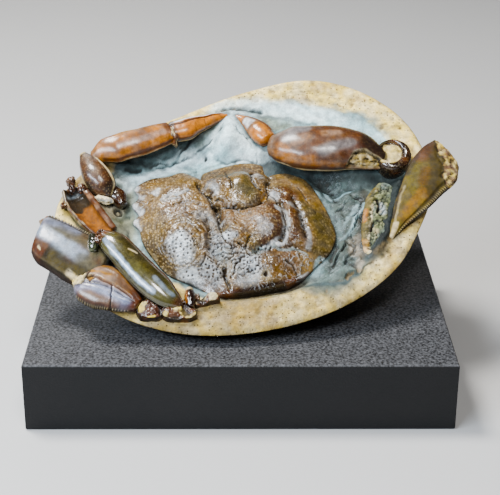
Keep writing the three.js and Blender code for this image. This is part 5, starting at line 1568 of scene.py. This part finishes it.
def make_trough(material):
    """The leg broken open lengthwise: an outer skin and an inner one, joined at their edges."""
    outer_turn = np.linspace(*OUTER_SPAN, TROUGH_HALF)
    inner_turn = np.linspace(*INNER_SPAN, TROUGH_HALF)
    rings = trough_rings(spline(TROUGH, TROUGH_STEPS), outer_turn, inner_turn)
    count, sides, _ = rings.shape
    index = np.arange(count * sides).reshape(count, sides)
    outer, inner = index[:, :TROUGH_HALF], index[:, TROUGH_HALF:][:, ::-1]
    start = np.stack((outer[0, 1:], outer[0, :-1], inner[0, :-1], inner[0, 1:]), axis=-1)
    end = np.stack((outer[-1, :-1], outer[-1, 1:], inner[-1, 1:], inner[-1, :-1]), axis=-1)
    points = rings.reshape(-1, 3)
    within = np.tile(np.repeat((0.0, 1.0), TROUGH_HALF), count)
    steep = np.tile(np.concatenate((np.cos(outer_turn), np.cos(inner_turn))), count)
    t = np.repeat(np.linspace(0, 1, count), sides)
    ragged = 0.08 * fractal(points, 6, 2, 12)
    skin = mix("brown", "dark brown", patchy(points, 5, 3, 9, -0.3, 1))
    floor = layered(
        "trough amber",
        ("amber", 0.4 * patchy(points, 7, 3, 10, 0, 1)),
        ("olive dark", 0.95 * (1 - smooth(t + ragged, 0.38, 0.46))),
        # a painted glint across the floor near its top end
        ("worn grey and sheen", 0.6 * np.exp(-((t + 0.3 * ragged - 0.11) / 0.035) ** 2)),
        ("red brown", 0.75 * smooth(np.abs(steep), 0.86, 0.97)))
    rim = smooth(np.abs(steep), 0.9, 0.99) * (1 - smooth(t, 0.92, 1))
    paint = layered(
        skin,
        (floor, within),
        # painted highlight on the thick right rim; bone on the thin left rim
        ("pink beige", 0.6 * rim * (steep > 0) * patchy(points, 3, 3, 13, -0.3, 0.5)),
        ("bone", 0.5 * rim * (steep < 0) * patchy(points, 3, 3, 15, 0, 0.6)))
    points[:, 2] += 0.3 * fractal(points, 3, 3, 14)
    gloss = np.where(within * (t > 0.2) > 0, 0.1, 0.85)
    faces = (ring_quads(count, sides), start, end)
    trough = mesh_object("left_leg_1_trough", to_part(points), faces, paint, trait_columns(gloss))
    return finish_piece(trough, material, "orange_shell", "left_leg_1")


def make_bit(material, name, middle, radii, turn, tints, gloss, roughness, slot):
    """A rounded pebble or crumbly bit, drawn as rings from bottom to top."""
    round_turn = np.linspace(0, 2 * math.pi, BIT_SIDES, endpoint=False)
    tilt = np.linspace(-math.pi / 2 + BIT_POLE, math.pi / 2 - BIT_POLE, BIT_RINGS)
    ball = np.empty((BIT_RINGS, BIT_SIDES, 3))
    ball[:, :, 0] = np.outer(np.cos(tilt), np.cos(round_turn))
    ball[:, :, 1] = np.outer(np.cos(tilt), np.sin(round_turn))
    ball[:, :, 2] = np.sin(tilt)[:, None]
    unit = ball.reshape(-1, 3)
    seed = name_seed(name)
    swell = roughness * fractal(unit * 10, 6, 4, seed)
    c, s = math.cos(math.radians(turn)), math.sin(math.radians(turn))
    local = unit * radii + unit * swell[:, None]
    points = local @ np.array([[c, s, 0], [-s, c, 0], [0, 0, 1]]) + middle
    paint = layered(tints[0], (tints[1], patchy(unit * 10, 5, 3, seed + 1, -0.2, 1)),
                    # painted shade in the low dents
                    ("near black", 0.75 * smooth(-swell, 0.2, 1.0)))
    piece = ring_object(name, points.reshape(ball.shape), paint, trait_columns(np.full(len(points), gloss)))
    return finish_piece(piece, material, slot)


# ------------------------------------------------------------------------------ plinth
def make_plinth():
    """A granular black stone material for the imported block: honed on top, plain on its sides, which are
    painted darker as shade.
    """
    look = Surface("black_granular_stone")
    ramp = look.add("ShaderNodeValToRGB", {"Fac": look.noise(800, 4)})
    for stop, (position, colour) in zip(ramp.color_ramp.elements, PLINTH_GRAIN):
        stop.position = position
        stop.color = colour
    heights = look.add("ShaderNodeSeparateXYZ", {0: look.place})
    # grained on top; plain and darker on the sides, a painted shade
    honed = look.ranged(heights.outputs["Z"], (PLINTH_TOP - 1.2) * MM, (PLINTH_TOP - 0.4) * MM, kind="LINEAR")
    tone = look.blend(honed, PLINTH_SIDE_SHADE, ramp.outputs["Color"])
    look.fill(look.shader.inputs["Base Color"], tone)
    look.fill(look.shader.inputs["Roughness"], look.ranged(look.noise(22, 6), 0, 1, 0.42, 0.7, "LINEAR"))
    look.shader.inputs["Specular IOR Level"].default_value = 0.25
    look.bump(look.noise(900, 3), 0.2 * MM)
    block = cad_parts["plinth"]
    block.data.materials.clear()
    block.data.materials.append(look.material)


# ------------------------------------------------------------------------ stage, camera
# the floor in metres: it runs from its front edge to a bend far behind, then up
FLOOR_HALF, FLOOR_FRONT, FLOOR_BEND = 3.0, -2.5, 1.6
BEND_RADIUS, BACKDROP_HEIGHT = 0.8, 2.4
FLOOR_COLOUR = (0.42, 0.415, 0.41, 1)
LIT_SPOT = (0, 0, 0.08)
WARM_WHITE = (1, 0.98, 0.95)
# lights: (name, place in metres, width and height in metres, watts, colour)
LIGHTS = [
    ("key_softbox", (-0.42, 0.14, 1.07), (0.32, 0.32), 30, (1, 0.985, 0.95)),
    ("left_strip", (-0.6, -0.56, 0.58), (0.8, 0.18), 22, (0.76, 0.87, 1)),
    ("front_softbox", (0.1, -0.6, 0.9), (0.16, 0.2), 7.5, WARM_WHITE),
    ("back_softbox", (-0.35, 0.95, 0.6), (0.6, 0.4), 2, WARM_WHITE),
]
WORLD_COLOUR, WORLD_STRENGTH = (0.8, 0.86, 0.95, 1), 0.06
CAMERA_PLACE = (-0.0039, -0.6448, 0.3492)
CAMERA_PITCH, CAMERA_YAW, CAMERA_ROLL = math.radians(24.0), math.radians(0.8), math.radians(0.35)
CAMERA_LENS, CAMERA_SENSOR = 96.84, 36


def make_floor():
    """A pale floor that curves up into a backdrop far behind."""
    profile = [(FLOOR_FRONT, 0.0), (FLOOR_BEND, 0.0)]
    for k in range(1, 13):
        angle = k / 12 * math.pi / 2
        profile.append((FLOOR_BEND + BEND_RADIUS * math.sin(angle), BEND_RADIUS * (1 - math.cos(angle))))
    profile.append((FLOOR_BEND + BEND_RADIUS, BACKDROP_HEIGHT))
    points = [(x, y, z) for y, z in profile for x in (-FLOOR_HALF, FLOOR_HALF)]
    faces = [(2 * k, 2 * k + 1, 2 * k + 3, 2 * k + 2) for k in range(len(profile) - 1)]
    mesh = bpy.data.meshes.new("floor")
    mesh.from_pydata(points, [], faces)
    mesh.shade_smooth()
    floor = bpy.data.objects.new("floor", mesh)
    bpy.context.collection.objects.link(floor)
    material = bpy.data.materials.new("pale_floor")
    material.use_nodes = True
    shader = material.node_tree.nodes["Principled BSDF"]
    shader.inputs["Base Color"].default_value = FLOOR_COLOUR
    shader.inputs["Roughness"].default_value = 0.7
    floor.data.materials.append(material)


def make_light(name, place, size, power, colour):
    """A rectangular soft light that shines on the object's middle."""
    data = bpy.data.lights.new(name, "AREA")
    data.shape = "RECTANGLE"
    data.size, data.size_y = size
    data.energy = power
    data.color = colour
    light = bpy.data.objects.new(name, data)
    bpy.context.collection.objects.link(light)
    light.location = place
    light.rotation_euler = (Vector(LIT_SPOT) - Vector(place)).to_track_quat("-Z", "Y").to_euler()


def make_world():
    """Faint even light from all round."""
    world = bpy.data.worlds.new("studio")
    bpy.context.scene.world = world
    world.use_nodes = True
    background = world.node_tree.nodes["Background"]
    background.inputs["Color"].default_value = WORLD_COLOUR
    background.inputs["Strength"].default_value = WORLD_STRENGTH


def make_camera():
    """The photo's camera, as fitted to the plinth's edges."""
    data = bpy.data.cameras.new("camera")
    data.lens = CAMERA_LENS
    data.sensor_width = CAMERA_SENSOR
    camera = bpy.data.objects.new("camera", data)
    bpy.context.collection.objects.link(camera)
    turn = (Matrix.Rotation(-CAMERA_YAW, 4, "Z") @ Matrix.Rotation(math.pi / 2 - CAMERA_PITCH, 4, "X")
            @ Matrix.Rotation(CAMERA_ROLL, 4, "Z"))
    camera.matrix_world = Matrix.Translation(CAMERA_PLACE) @ turn
    bpy.context.scene.camera = camera


# ------------------------------------------------------------------------------- build
make_camera()
for light in LIGHTS:
    make_light(*light)
make_world()
make_floor()

stone = painted_material(
    "weathered_stone", grain=(0.9, 0.3), mottle=3.4, rough=(0.85, 0.42), wrinkle=(2.6, 0.25),
    pore=(1.5, 0.5), contrast=0.28, dim=1.05, specular=0.15)
granular = painted_material(
    "granular_shell", grain=(0.7, 0.14), mottle=3.2, rough=(0.5, 0.26), bead=(1.35, 0.2),
    wrinkle=(4.4, 0.5), coat=(0.6, 0.1), contrast=0.32, rich=1.06, dim=0.66, specular=0.22)
glossy = painted_material(
    "glossy_shell", grain=(0.6, 0.03), mottle=2.6, rough=(0.85, 0.22), bead=(0.9, 0.12),
    coat=(1, 0.1), contrast=0.32, rich=1.1, dim=0.7, specular=0.25)
satin = painted_material(
    "satin_shell", grain=(0.6, 0.05), mottle=2.6, rough=(0.85, 0.4), bead=(0.9, 0.1),
    coat=(0.8, 0.24), rich=1.1, dim=0.72)
crumbly = painted_material(
    "crumbly_stone", grain=(0.8, 0.3), mottle=2.2, rough=(0.85, 0.4), pore=(1.3, 0.4),
    contrast=0.4, specular=0.15)

make_plinth()
make_nodule(stone)
make_carapace(granular)
for limb, finish, slot in (
        ("left_claw_palm", satin, "orange_shell"), ("left_claw_finger", satin, "orange_shell"),
        ("left_claw_wrist", satin, "brown_shell"), ("left_claw_arm", glossy, "brown_shell"),
        ("right_claw_palm", satin, "brown_shell"), ("right_claw_finger", satin, "orange_shell"),
        ("left_leg_3", glossy, "olive_shell"), ("left_leg_4", satin, "brown_shell")):
    make_limb(limb, finish, slot)
make_limb("left_leg_2", satin, "olive_shell", spacing=0.3, caps=(0.08, 0.4))
make_limb("right_leg", satin, "olive_shell", spacing=0.3, caps=(0.2, 0.4))
make_limb("right_leg_base", crumbly, "infill")
for limb in ("left_leg_joint", "rear_leg_stub_2"):
    make_limb(limb, glossy, "brown_shell", sides=64, spacing=0.3)
for slab in SLABS:
    make_slab(slab, glossy)
make_wrist(glossy)
make_trough(satin)
finish_of_slot = {"infill": crumbly, "matrix": stone}
for bit in BITS:
    make_bit(finish_of_slot.get(bit[-1], glossy), *bit)
